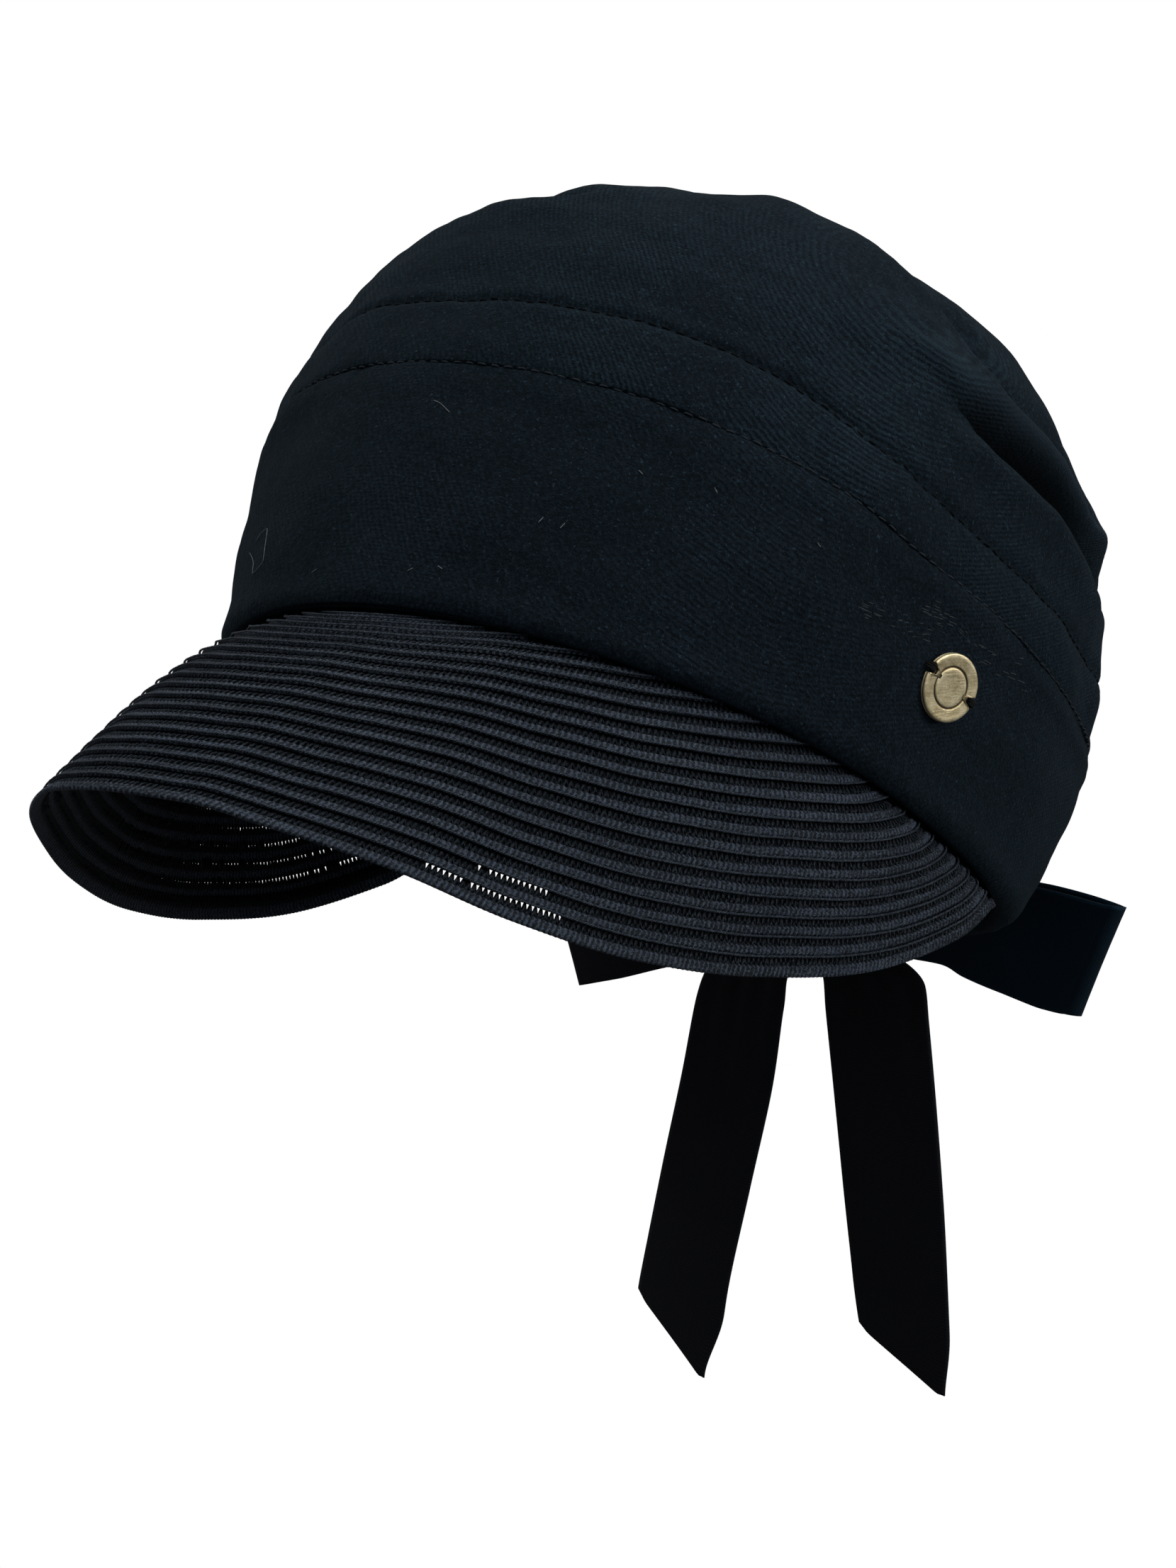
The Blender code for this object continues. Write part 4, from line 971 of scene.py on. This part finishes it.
def reach(phi):
    """mm from the edge to the rim along the peak, and the length that the 21 rows share."""
    foot = smooth(column(PEAK_FOOT, 0), column(PEAK_FOOT, 1), np.abs(phi)) * np.where(phi < 0, -1.0, 1.0)
    D = cloth_base(foot, np.zeros_like(phi)) - up_vec * PEAK_DROP - edge(phi)
    L = ROW_MM + 3.0 * np.clip(np.cos(1.5 * np.radians(np.minimum(np.abs(phi), 60))), 0, 1)
    return np.linalg.norm(D, axis=-1), L


R_TAB, L_TAB = reach(fine_phi)


def row_f(phi, k):
    return (k / PEAK_ROWS) * np.interp(phi, fine_phi, L_TAB) / np.interp(phi, fine_phi, R_TAB)


def f_max(phi):
    return 1.0 + 2.4 / np.interp(phi, fine_phi, R_TAB)


def peak_frame(phi, f):
    P = peak(phi, f)
    A = unit(peak(phi, f + 0.004) - peak(phi, f - 0.004))
    U = unit(peak(phi + 0.05, f) - peak(phi - 0.05, f))
    N = unit(np.cross(U, A))
    return P, A, U, N


def row_run(k, pitch):
    """phi of equal steps along the middle of row k, as far as the row shows, and the step in mm."""
    ok = row_f(fine_phi, k + 0.12) < f_max(fine_phi)
    lo, hi = fine_phi[ok][0], fine_phi[ok][-1]
    phi = np.linspace(lo, hi, 3001)
    path = peak(phi, np.minimum(row_f(phi, k + 0.4), f_max(phi)))
    run = np.concatenate([[0], np.cumsum(np.linalg.norm(np.diff(path, axis=0), axis=1))])
    n = max(3, int(run[-1] / pitch) + 1)
    s = np.linspace(0, run[-1], n)
    return np.interp(s, run, phi), s


SIGN = 1.0
_p, _a, _u, _n = peak_frame(np.array([0.0]), np.array([0.5]))
if _n[0][2] < 0:
    SIGN = -1.0
rng = np.random.default_rng(77)
ROW_JIT = [(rng.normal(0, 0.05), rng.uniform(0, 6.28)) for _ in range(PEAK_ROWS + 1)]


def braid_point(phi, k, v, h):
    """Point of row k: v across the row (0 outer side), h mm out of the middle of the wall."""
    jit, ph = ROW_JIT[k]
    wave = 0.012 * np.sin(phi * 0.23 + ph) + 0.008 * np.sin(phi * 0.71 + 2 * ph)
    f = np.minimum(row_f(phi, k + v + wave * (0 if k == 0 else 1)), f_max(phi))
    P, A, U, N = peak_frame(phi, f)
    lift = MID + h + 0.30 * (1 - 1.6 * v)
    return P + N * SIGN * lift[..., None], N * SIGN


TOOTH = 1.46                                           # mm from tooth to tooth of the open side
# where the pinholes between the teeth stay open: from angle, to angle, from row, to row
OPEN = [(41, 66, 0, 2), (70, 78, 1, 2), (-99, -56, 1, 7), (64, 88, 5, 13), (-88, -64, 9, 13), (-30, -12, 0, 1)]


def teeth(k):
    """Start and number of the teeth of row k."""
    phi_all, s_all = row_run(k, 0.5)
    seen = row_f(phi_all, k + 0.66) < f_max(phi_all)
    if seen.sum() < 8:
        return s_all[0], 0
    return s_all[seen][0], int((s_all[seen][-1] - s_all[seen][0]) / TOOTH)


def knit_rows(name, ks):
    lots, uvs = [], []
    at = 0
    for k in ks:
        phi_all, s_all = row_run(k, 0.5)
        third = TOOTH / 3
        start = teeth(k)[0] + 0.13 * TOOTH              # the middle of a gap between two teeth
        j = np.arange(-int((start - s_all[0]) / third), int((s_all[-1] - start) / third) + 1)
        s = start + j * third
        gap = np.mod(j, 3) == 0
        if s[0] - s_all[0] > 0.08:
            s, gap = np.append(s_all[0], s), np.append(False, gap)
        if s_all[-1] - s[-1] > 0.08:
            s, gap = np.append(s, s_all[-1]), np.append(gap, False)
        phi = np.interp(s, s_all, phi_all)
        if k == 0:
            vs = np.array([0.035, 0.10, 0.22, 0.34, 0.46, 0.57, 0.65, 0.72, 1.30, 1.30, 0.60, 0.08])
            hs = np.array([-0.10, 0.55, 0.46, 0.62, 0.44, 0.60, 0.10, -0.24, -0.08, -0.26, -0.52, -0.46])
        else:
            vs = np.array([0.130, 0.22, 0.32, 0.42, 0.52, 0.60, 0.66, 0.72, 1.30, 1.30, 0.60, 0.20])
            hs = np.array([-0.05, 0.36, 0.62, 0.46, 0.62, 0.44, -0.02, -0.24, -0.08, -0.26, -0.52, -0.36])
        V_, S_ = np.meshgrid(vs, s)
        PH = np.broadcast_to(phi[:, None], V_.shape)
        top = (np.arange(len(vs)) < 7) & (np.arange(len(vs)) > 0)
        chev = np.sin(2 * pi * (S_ / 1.42 + 1.6 * np.abs(V_ - 0.44)) + ROW_JIT[k][1]) * 0.17 * top[None]
        ragged = 0.016 * np.sin(2 * pi * S_ / 1.42 + ROW_JIT[k][1] + 2.0) * np.isin(np.arange(len(vs)), (0, 6))[None]
        # the lip under the zigzag runs in under the next row, with a notch between the teeth where a pinhole is open
        g = np.random.default_rng(900 + k)
        tight = sum(np.sin(s / L + p_) for L, p_ in zip((3.1, 7.7, 16.0), g.uniform(0, 6.28, 3))) / 3.0
        hole = np.zeros(len(s), bool)
        for p0, p1, k0, k1 in OPEN:
            if k0 <= k <= k1:
                hole |= (phi > p0 + 3 * g.uniform(-1, 1)) & (phi < p1 + 3 * g.uniform(-1, 1)) & (tight > (-0.9 if p1 < 0 else -0.70))
        hole &= g.uniform(0, 1, len(s)) > 0.10
        cutback = np.where(hole & gap, np.where(phi < 0, -0.50, -0.41) + g.normal(0, 0.03, len(s)), np.where(hole, np.where(phi < 0, -0.08, -0.03), 0.0))
        lip = cutback[:, None] * np.isin(np.arange(len(vs)), (8, 9))[None]
        P, N = braid_point(PH, k, V_ + ragged + lip, hs[None] + chev)
        n, m = P.shape[:2]
        q = ring_quads(n, m)
        a = [[0, j + 1, j] for j in range(1, m - 1)]
        b = [[(n - 1) * m, (n - 1) * m + j, (n - 1) * m + j + 1] for j in range(1, m - 1)]
        lots.append((P.reshape(-1, 3), q, np.array(a + b)))
        uvs.append(np.stack([S_, V_], -1).reshape(-1, 2))
    V, Q, T3 = bulk(lots)
    ob = make(name, V, Q, T3, BRAID, along=np.concatenate(uvs))
    return ob


def cord_rows(name, ks):
    lots, uvs = [], []
    for k in ks:
        phi, s = row_run(k, 1.0)
        g = np.random.default_rng(200 + k)
        v = 0.135 + 0.010 * np.sin(s / 9.0 + ROW_JIT[k][1]) + g.normal(0, 0.004, len(s))
        h = 0.80 + 0.05 * np.sin(s / 5.0 + ROW_JIT[k][1])
        P, N = braid_point(phi, k, v, h)
        rad = 0.29 * (1 + 0.10 * np.sin(2 * pi * s / 3.4 + ROW_JIT[k][1]))
        V, Q, T3 = tubes(P[None], rad[None], 6, 0.9, N[None])
        lots.append((V, Q, T3))
        a = np.arange(6) / 6.0
        uvs.append(np.stack(np.meshgrid(a, s)[::-1], -1).reshape(-1, 2))
    V, Q, T3 = bulk(lots)
    return make(name, V, Q, T3, CORD, along=np.concatenate(uvs))


def lace_rows(name, ks):
    """The open side of each row: a zigzag of strands with real holes between them."""
    lots, uvs = [], []
    for k in ks:
        phi_all, s_all = row_run(k, 0.5)
        pitch = TOOTH
        s0, n = teeth(k)
        if n < 2:
            continue
        g = np.random.default_rng(400 + k)
        # one tooth: up the leaning leg, then back down a steeper leg behind it
        share = np.array([0.0, 0.22, 0.46, 0.66, 0.80, 0.92])
        vv = np.array([0.62, 0.78, 0.97, 1.10, 0.95, 0.74])
        hh = np.array([0.16, 0.34, 0.22, -0.12, -0.30, -0.16])
        base = s0 + (np.arange(n)[:, None] + g.normal(0, 0.05, (n, 1)) + share[None]) * pitch
        v = vv[None] + g.normal(0, 0.012, (n, 6))
        h = hh[None] + g.normal(0, 0.02, (n, 6))
        s, v, h = base.ravel(), v.ravel(), h.ravel()
        phi = np.interp(s, s_all, phi_all)
        keep = row_f(phi, k + v) < f_max(phi) + 0.002
        P, N = braid_point(phi, k, v, h)
        # cut into runs where the teeth would be under the band
        runs, start = [], None
        for i, good in enumerate(np.append(keep, False)):
            if good and start is None:
                start = i
            if not good and start is not None:
                if i - start > 4:
                    runs.append((start, i))
                start = None
        for i0, i1 in runs:
            p, nn = P[i0:i1], N[i0:i1]
            V, Q, T3 = tubes(p[None], np.full((1, len(p)), 0.33), 4, 0.85, nn[None])
            lots.append((V, Q, T3))
            uvs.append(np.stack(np.meshgrid(np.arange(4) / 4.0, s[i0:i1])[::-1], -1).reshape(-1, 2))
    V, Q, T3 = bulk(lots)
    return make(name, V, Q, T3, LACE, along=np.concatenate(uvs))


place(knit_rows("braid_rows_outer", range(0, 8)), "navy_sewn_braid", "peak")
place(knit_rows("braid_rows_inner", range(8, PEAK_ROWS)), "navy_sewn_braid", "peak")
place(cord_rows("braid_cords", range(1, PEAK_ROWS)), "navy_sewn_braid", "peak")
place(lace_rows("braid_lace_outer", range(0, 8)), "navy_sewn_braid", "peak")
place(lace_rows("braid_lace_inner", range(8, PEAK_ROWS)), "navy_sewn_braid", "peak")

# ---------------------------------------------------------------- badge
bc = cloth(np.array([BADGE_AT[0]]), np.array([BADGE_AT[1]]), folds=False)[0]
bn = cloth_normal(np.array([BADGE_AT[0]]), np.array([BADGE_AT[1]]))[0]
bc = bc + bn * BADGE_OFF
ct, st = cos(radians(BADGE_TURN)), sin(radians(BADGE_TURN))
bn = np.array([bn[0] * ct + bn[1] * st, bn[1] * ct - bn[0] * st, bn[2]])
bu = np.array([0.0, 0.0, 1.0]) - bn * bn[2]
bu /= np.linalg.norm(bu)
br = np.cross(bu, bn)


def badge_point(x, y, z):
    """x to the right and y up on the badge's face, z out of it."""
    x, y, z = np.broadcast_arrays(x, y, z)
    return bc + br * x[..., None] + bu * y[..., None] + bn * z[..., None]


NOTCH = (139.0, -31.0)
LOW = 0.75
ang = np.arange(240) * 1.5
dev = np.min(np.abs(wrap(ang[:, None] - np.array(NOTCH)[None])), axis=1)
cut = 2.1 * (1 - step(5.5, 10.5, dev))                  # two rounded notches in the rim
SECTION = [
    # radius, height, how worn (1 high, 0 in a groove)
    (0.0, LOW, 0.4), (6.2, LOW, 0.4), (BADGE_R - 0.30, LOW, 0.4), (BADGE_R - 0.02, LOW + 0.08, 0.8), (BADGE_R, LOW + 0.30, 1.0),
    (BADGE_R - 0.05, LOW + 0.42, 0.7), (BADGE_R - 0.28, LOW + 0.50, 0.1), (BADGE_R - 0.30, LOW + 0.60, 0.0),
    (BADGE_R - 0.12, LOW + 0.70, 0.5), (BADGE_R - 0.04, LOW + 0.86, 1.0), (BADGE_R - 0.04, LOW + 1.08, 1.0),
    (BADGE_R - 0.16, LOW + 1.24, 1.0), (BADGE_R - 0.42, LOW + 1.30, 1.0), (7.0, LOW + 1.27, 0.9), (6.2, LOW + 1.23, 0.85),
    (5.6, LOW + 1.21, 0.85), (5.2, LOW + 1.20, 0.85), (5.0, LOW + 1.18, 0.6), (4.88, LOW + 1.02, 0.0), (4.66, LOW + 1.00, 0.0),
    (4.54, LOW + 1.18, 0.6), (4.30, LOW + 1.21, 0.95), (3.6, LOW + 1.22, 0.85), (2.6, LOW + 1.20, 0.8), (1.4, LOW + 1.18, 0.78), (0.0, LOW + 1.17, 0.78),
]
V, UVW = [], []
for r, z, worn in SECTION[1:-1]:
    rr = np.minimum(r, BADGE_R - cut + (r - BADGE_R) * (cut > 0.05)) if r > 5.6 else np.full(len(ang), r)
    rr = np.where(cut > 0.05, np.minimum(rr, np.maximum(BADGE_R - cut - 0.25 * (BADGE_R - r), 5.55)), rr) if r > 5.6 else rr
    V.append(badge_point(rr * np.cos(np.radians(ang)), rr * np.sin(np.radians(ang)), z))
    near_notch = 1 - 0.75 * (1 - step(7.0, 13.0, dev)) * (r > 5.6)
    UVW.append(np.stack([ang / 360.0, worn * near_notch], -1))
V = np.array(V)
n = V.shape[0] * V.shape[1]
verts = np.concatenate([V.reshape(-1, 3), badge_point(0.0, 0.0, LOW)[None], badge_point(0.0, 0.0, LOW + 1.17)[None]])
uv = np.concatenate([np.array(UVW).reshape(-1, 2), [[0, 0.4], [0, 0.78]]])
k = np.arange(len(ang))
low_fan = np.stack([(k + 1) % len(ang), k, np.full(len(ang), n)], -1)
top_at = (V.shape[0] - 1) * len(ang)
top_fan = np.stack([top_at + k, top_at + (k + 1) % len(ang), np.full(len(ang), n + 1)], -1)
badge = make("badge_disc", verts, ring_quads(V.shape[0], len(ang)), np.concatenate([low_fan, top_fan]), BRASS, along=uv)
place(badge, "aged_brass", "badge")

for name, a, seed in (("badge_thread_upper", NOTCH[0], 51), ("badge_thread_lower", NOTCH[1], 52)):
    g = np.random.default_rng(seed)
    lots = []
    s = np.linspace(0, 1, 15)
    r = np.interp(s, [0, .15, .35, .5, .7, .85, 1], [6.6, 6.6, 7.0, 7.5, 8.3, 8.75, 8.85])
    z = np.interp(s, [0, .15, .35, .5, .7, .85, 1], [0.55, 1.5, 2.25, 2.45, 2.2, 1.3 if a > 0 else 0.8, 0.50 if a > 0 else -1.0])
    for strand in range(5):
        off = (strand - 2) * 0.27 + g.normal(0, 0.03)
        tw = s * 2.4 + strand * 1.4
        x = r + 0.07 * np.sin(2 * tw)
        y = off + 0.10 * np.cos(2 * tw)
        ca, sa = cos(radians(a)), sin(radians(a))
        lots.append(tubes(badge_point(x * ca - y * sa, x * sa + y * ca, z + 0.09 * np.sin(tw + strand))[None], np.full((1, 15), 0.20), 7))
    for hair in range(9 if a > 0 else 5):               # loose fibres
        q = np.linspace(0, 1, 6)
        start = g.uniform(6.9, 8.8)
        side = g.choice([-1, 1])
        x = start + g.normal(0, 0.5) * q + g.normal(0, 0.25) * q ** 2
        y = side * (0.5 + g.uniform(0.5, 1.3) * q) + g.normal(0, 0.2) * q
        zz = 1.9 + g.uniform(-0.2, 0.7) * q
        ca, sa = cos(radians(a)), sin(radians(a))
        lots.append(tubes(badge_point(x * ca - y * sa, x * sa + y * ca, zz)[None], np.full((1, 6), 0.045), 4))
    V, Q, T3 = bulk(lots)
    place(make(name + "_strands", V, Q, T3, THREAD), "black_thread", name)

# ---------------------------------------------------------------- bow
RIB_T = 0.36


def finer(table, count):
    s = np.linspace(0, len(table) - 1, count)
    x = np.arange(len(table))
    return np.stack([smooth(x, column(table, k), s) for k in range(len(table[0]))], -1)


def ribbon_shell(name, mid, nrm, uv):
    """Closed thin ribbon round a (rows, cols) grid of middle points."""
    R, C = mid.shape[:2]
    a = mid + nrm * 0.5 * RIB_T
    b = mid - nrm * 0.5 * RIB_T
    verts = np.concatenate([a, b[:, ::-1]], axis=1)     # rows of closed rings
    m = 2 * C
    q = ring_quads(R, m)
    k = np.arange(C - 1)
    lo = np.stack([k + 1, k, m - 1 - k, m - 2 - k], -1)
    hi = np.stack([k, k + 1, m - 2 - k, m - 1 - k], -1) + (R - 1) * m
    uvs = np.concatenate([uv, uv[:, ::-1]], axis=1).reshape(-1, 2)
    return make(name, verts.reshape(-1, 3), np.concatenate([q, lo, hi]), mat=RIBBON_LOOP if "loop_left" in name else RIBBON, along=uvs)


def grid_normals(G):
    return unit(np.cross(np.gradient(G, axis=0), np.gradient(G, axis=1)))


def fix_out(ob):
    """Faces outwards: flips when the signed volume is negative."""
    me = ob.data
    n = len(me.vertices)
    co = np.empty(n * 3)
    me.vertices.foreach_get("co", co)
    co = co.reshape(-1, 3)
    me.calc_loop_triangles()
    t = np.empty(len(me.loop_triangles) * 3, np.int32)
    me.loop_triangles.foreach_get("vertices", t)
    a, b, c = (co[t.reshape(-1, 3)[:, i]] for i in range(3))
    if (a * np.cross(b, c)).sum() < 0:
        me.flip_normals()
    return ob


def loop_sheet(name, table, seed):
    rows = finer(table, 56)
    w = unit(np.stack([rows[:, 3], np.zeros(len(rows)), rows[:, 4]], -1))
    mid = rows[:, :3]
    tang = unit(np.gradient(mid, axis=0))
    od = unit(np.cross(tang, w))
    path = [mid[i] + od[i] * rows[i, 6] for i in range(len(rows))]
    width = [w[i] * rows[i, 5] for i in range(len(rows))]
    end, e_out, e_t, r = mid[-1], od[-1], tang[-1], rows[-1, 6]
    for a in np.linspace(78, -78, 15):
        path.append(end + e_out * r * sin(radians(a)) + e_t * r * cos(radians(a)))
        width.append(w[-1] * rows[-1, 5])
    for i in range(len(rows) - 1, -1, -1):
        path.append(mid[i] - od[i] * rows[i, 6])
        width.append(w[i] * rows[i, 5])
    path, width = np.array(path), np.array(width)
    run = np.concatenate([[0], np.cumsum(np.linalg.norm(np.diff(path, axis=0), axis=1))])
    x = np.linspace(-1, 1, 27)
    G = path[:, None] + width[:, None] * x[None, :, None]
    t = unit(np.gradient(path, axis=0))
    n = unit(np.cross(t, unit(width)))
    # gathers that run out of the knot, and a soft roll of the ribbon
    from_knot = np.minimum(run, run[-1] - run)
    g = np.random.default_rng(seed)
    gather = np.exp(-from_knot / 17.0)[:, None] * (0.85 * np.sin(4.2 * pi * x + g.uniform(0, 6)) + 0.5 * np.sin(7.7 * x + g.uniform(0, 6)))[None]
    soft = 0.35 * np.sin(run / 13.0 + g.uniform(0, 6))[:, None] * np.cos(1.4 * x)[None]
    G = G + n[:, None] * (np.minimum(gather, 1.1) * 0.8 + soft)[..., None]
    uv = np.stack(np.broadcast_arrays(run[:, None], (x[None] + 1) / 2), -1)
    return fix_out(ribbon_shell(name, G, grid_normals(G), uv)), run[-1]


def tail_sheet(name, table, seed, slant, curve):
    rows = finer(table, 110)
    mid = rows[:, :3].copy()
    w = unit(np.stack([rows[:, 3], rows[:, 4], np.zeros(len(rows))], -1))
    x = np.linspace(-1, 1, 25)
    G = mid[:, None] + w[:, None] * (rows[:, 5][:, None] * x[None])[..., None]
    share = np.linspace(0, 1, len(rows)) ** 3
    # slanted cut with a rounded tip and a soft corner
    end = (0.5 * (1 + x)) ** 0.93 - 0.07 * np.exp(-((1 - x) / 0.12) ** 2) - 0.05 * np.exp(-((1 + x) / 0.12) ** 2)
    G = G + np.array([0.0, 0.0, -1.0]) * (share[:, None] * end[None] * slant)[..., None]
    # the longer side curves in towards the tip
    low = step(0.86, 1.0, np.linspace(0, 1, len(rows)))
    G = G - w[:, None] * (low[:, None] * curve * (0.5 * (1 + x))[None] ** 2)[..., None]
    run = np.concatenate([[0], np.cumsum(np.linalg.norm(np.diff(mid, axis=0), axis=1))])
    g = np.random.default_rng(seed)
    gather = np.exp(-run / 16.0)[:, None] * (0.9 * np.sin(3.7 * pi * x + g.uniform(0, 6)))[None]
    soft = 0.45 * np.sin(run / 21.0 + g.uniform(0, 6))[:, None] * np.cos(1.1 * x + g.uniform(-0.6, 0.6))[None]
    n = unit(np.cross(unit(np.gradient(mid, axis=0)), w))
    G = G + n[:, None] * (gather * 0.7 + soft)[..., None]
    uv = np.stack(np.broadcast_arrays(run[:, None], (x[None] + 1) / 2), -1)
    return fix_out(ribbon_shell(name, G, grid_normals(G), uv)), run[-1]


for node, table, seed in (("bow_loop_left", LOOP_LEFT, 61), ("bow_loop_right", LOOP_RIGHT, 62),
                          ("bow_tail_left", TAIL_LEFT, 63), ("bow_tail_right", TAIL_RIGHT, 64)):
    if "loop" in node:
        ob, long_mm = loop_sheet(node + "_ribbon", table, seed)
    else:
        ob, long_mm = tail_sheet(node + "_ribbon", table, seed, TAIL_SLANT["right" in node] + 1.6 * ("right" in node), 4.6 if "right" in node else 1.6)
    place(ob, "black_ribbon", node)

# knot: a short ribbon wound once round the middle, creased lengthwise
KNOT_W, KNOT_H, KNOT_D = 11.7, 17.0, 9.0
a = np.linspace(0, 2 * pi, 97)[:-1]
x = np.linspace(-1, 1, 33)
A, X = np.meshgrid(a, x)
pinch = 0.90 + 0.10 * np.abs(X)
px = np.sign(np.cos(A)) * np.abs(np.cos(A)) ** 0.62 * KNOT_W * 0.5 * pinch
py = np.sign(np.sin(A)) * np.abs(np.sin(A)) ** 0.62 * KNOT_D * 0.5 * (1 - 0.25 * np.abs(X) ** 3)
crease = 0.42 * np.sin(5.3 * pi * X + 0.7 * np.sin(A) + 0.5) + 0.22 * np.sin(9.1 * X + 1.3 * np.cos(A))
G = np.stack([KNOT[0] + px * (1 + 0.09 * crease - 0.06), KNOT[1] + py * (1 + 0.09 * crease - 0.06), KNOT[2] + X * KNOT_H * 0.5], -1)
Nk = unit(G - np.stack([np.full(X.shape, KNOT[0]), np.full(X.shape, KNOT[1]), KNOT[2] + X * KNOT_H * 0.5], -1))
outer_k, inner_k = G, G - Nk * 0.8
VV = np.concatenate([outer_k, inner_k[::-1]], axis=0)
uvk = np.stack([(A / (2 * pi) * 34.0), (X + 1) / 2], -1)
knot = make("bow_knot_wrap", VV, ring_quads(len(VV), len(a), close_rows=True), mat=RIBBON, along=np.concatenate([uvk, uvk[::-1]]).reshape(-1, 2))
fix_out(knot)
place(knot, "black_ribbon", "bow_knot")
fix_out(band)
fix_out(crown)
fix_out(badge)
for o in list(bpy.data.objects):
    if o.name.startswith(("braid_", "stitches_", "badge_thread_", "lint_", "rubbed_")):
        fix_out(o)

# ---------------------------------------------------------------- camera, light and floor
cam = bpy.data.cameras.new("camera")
cam.lens = 126.36
cam.sensor_width = 36.0
cam.sensor_fit = "AUTO"
cam.clip_end = 30.0
co = bpy.data.objects.new("camera", cam)
bpy.context.scene.collection.objects.link(co)
co.location = (0.7755, -1.0336, 0.1359)
aim = Vector((-0.002535, -0.001098, -0.000024)) - Vector(co.location)
co.rotation_euler = aim.to_track_quat("-Z", "Y").to_euler()
bpy.context.scene.camera = co


def area_light(name, at, size, power, colour=(1, 1, 1), look=(0, 0, 0)):
    li = bpy.data.lights.new(name, "AREA")
    li.shape = "DISK"
    li.size = size
    li.energy = power
    li.color = colour
    ob = bpy.data.objects.new(name, li)
    bpy.context.scene.collection.objects.link(ob)
    ob.location = at
    ob.rotation_euler = (Vector(look) - Vector(at)).to_track_quat("-Z", "Y").to_euler()
    return ob


area_light("key", (-0.35, -1.20, 1.60), 1.3, 9.2, (1.0, 0.99, 0.97))
area_light("top", (0.30, 0.10, 1.9), 1.3, 7.6, (0.95, 0.98, 1.0))
area_light("fill", (1.55, -0.35, 0.75), 1.5, 7.4, (0.95, 0.98, 1.0))
area_light("card", (1.80, 0.72, 0.42), 0.8, 11.5, (1.0, 0.98, 0.95))

# a smooth white sweep: floor, curve and wall, all round
prof = [(0.0, -0.5), (2.6, -0.5)] + [(2.6 + 1.4 * sin(radians(a_)), -0.5 + 1.4 * (1 - cos(radians(a_)))) for a_ in range(10, 91, 10)] + [(4.0, 6.0)]
segs = 64
SV = [(r * cos(2 * pi * k_ / segs), r * sin(2 * pi * k_ / segs), z) for r, z in prof[1:] for k_ in range(segs)]
SV = np.array(SV + [(0.0, 0.0, -0.5)]) * 1000.0
fan = np.array([[len(SV) - 1, k_, (k_ + 1) % segs] for k_ in range(segs)])
sm, snt, sb = new_material("pale_sweep")
snt.nodes.remove(sb)
em = add(snt, "ShaderNodeEmission", in_Color=(1, 1, 1, 1), in_Strength=1.0)
snt.links.new(em.outputs[0], snt.nodes["Material Output"].inputs["Surface"])
sweep = make("studio_sweep", SV, ring_quads(len(prof) - 1, segs), fan, sm)
sweep.visible_diffuse = False
sweep.visible_glossy = False
sweep.visible_shadow = False

world = bpy.data.worlds.new("studio")
bpy.context.scene.world = world
world.use_nodes = True
wn = world.node_tree
bg = wn.nodes["Background"]
tc = add(wn, "ShaderNodeTexCoord")
sx = add(wn, "ShaderNodeSeparateXYZ")
wn.links.new(tc.outputs["Generated"], sx.inputs[0])
wr = ramp(wn, math(wn, "MULTIPLY_ADD", sx.outputs[2], 0.5, 0.5), [(0.34, (0.20, 0.21, 0.22)), (0.56, (0.50, 0.52, 0.55)), (1.0, (1.0, 1.0, 1.0))])
wn.links.new(wr, bg.inputs["Color"])
bg.inputs["Strength"].default_value = 0.42

scn = bpy.context.scene
scn.view_settings.view_transform = "Standard"
scn.view_settings.look = "None"
scn.view_settings.exposure = 0.0
scn.view_settings.gamma = 1.0
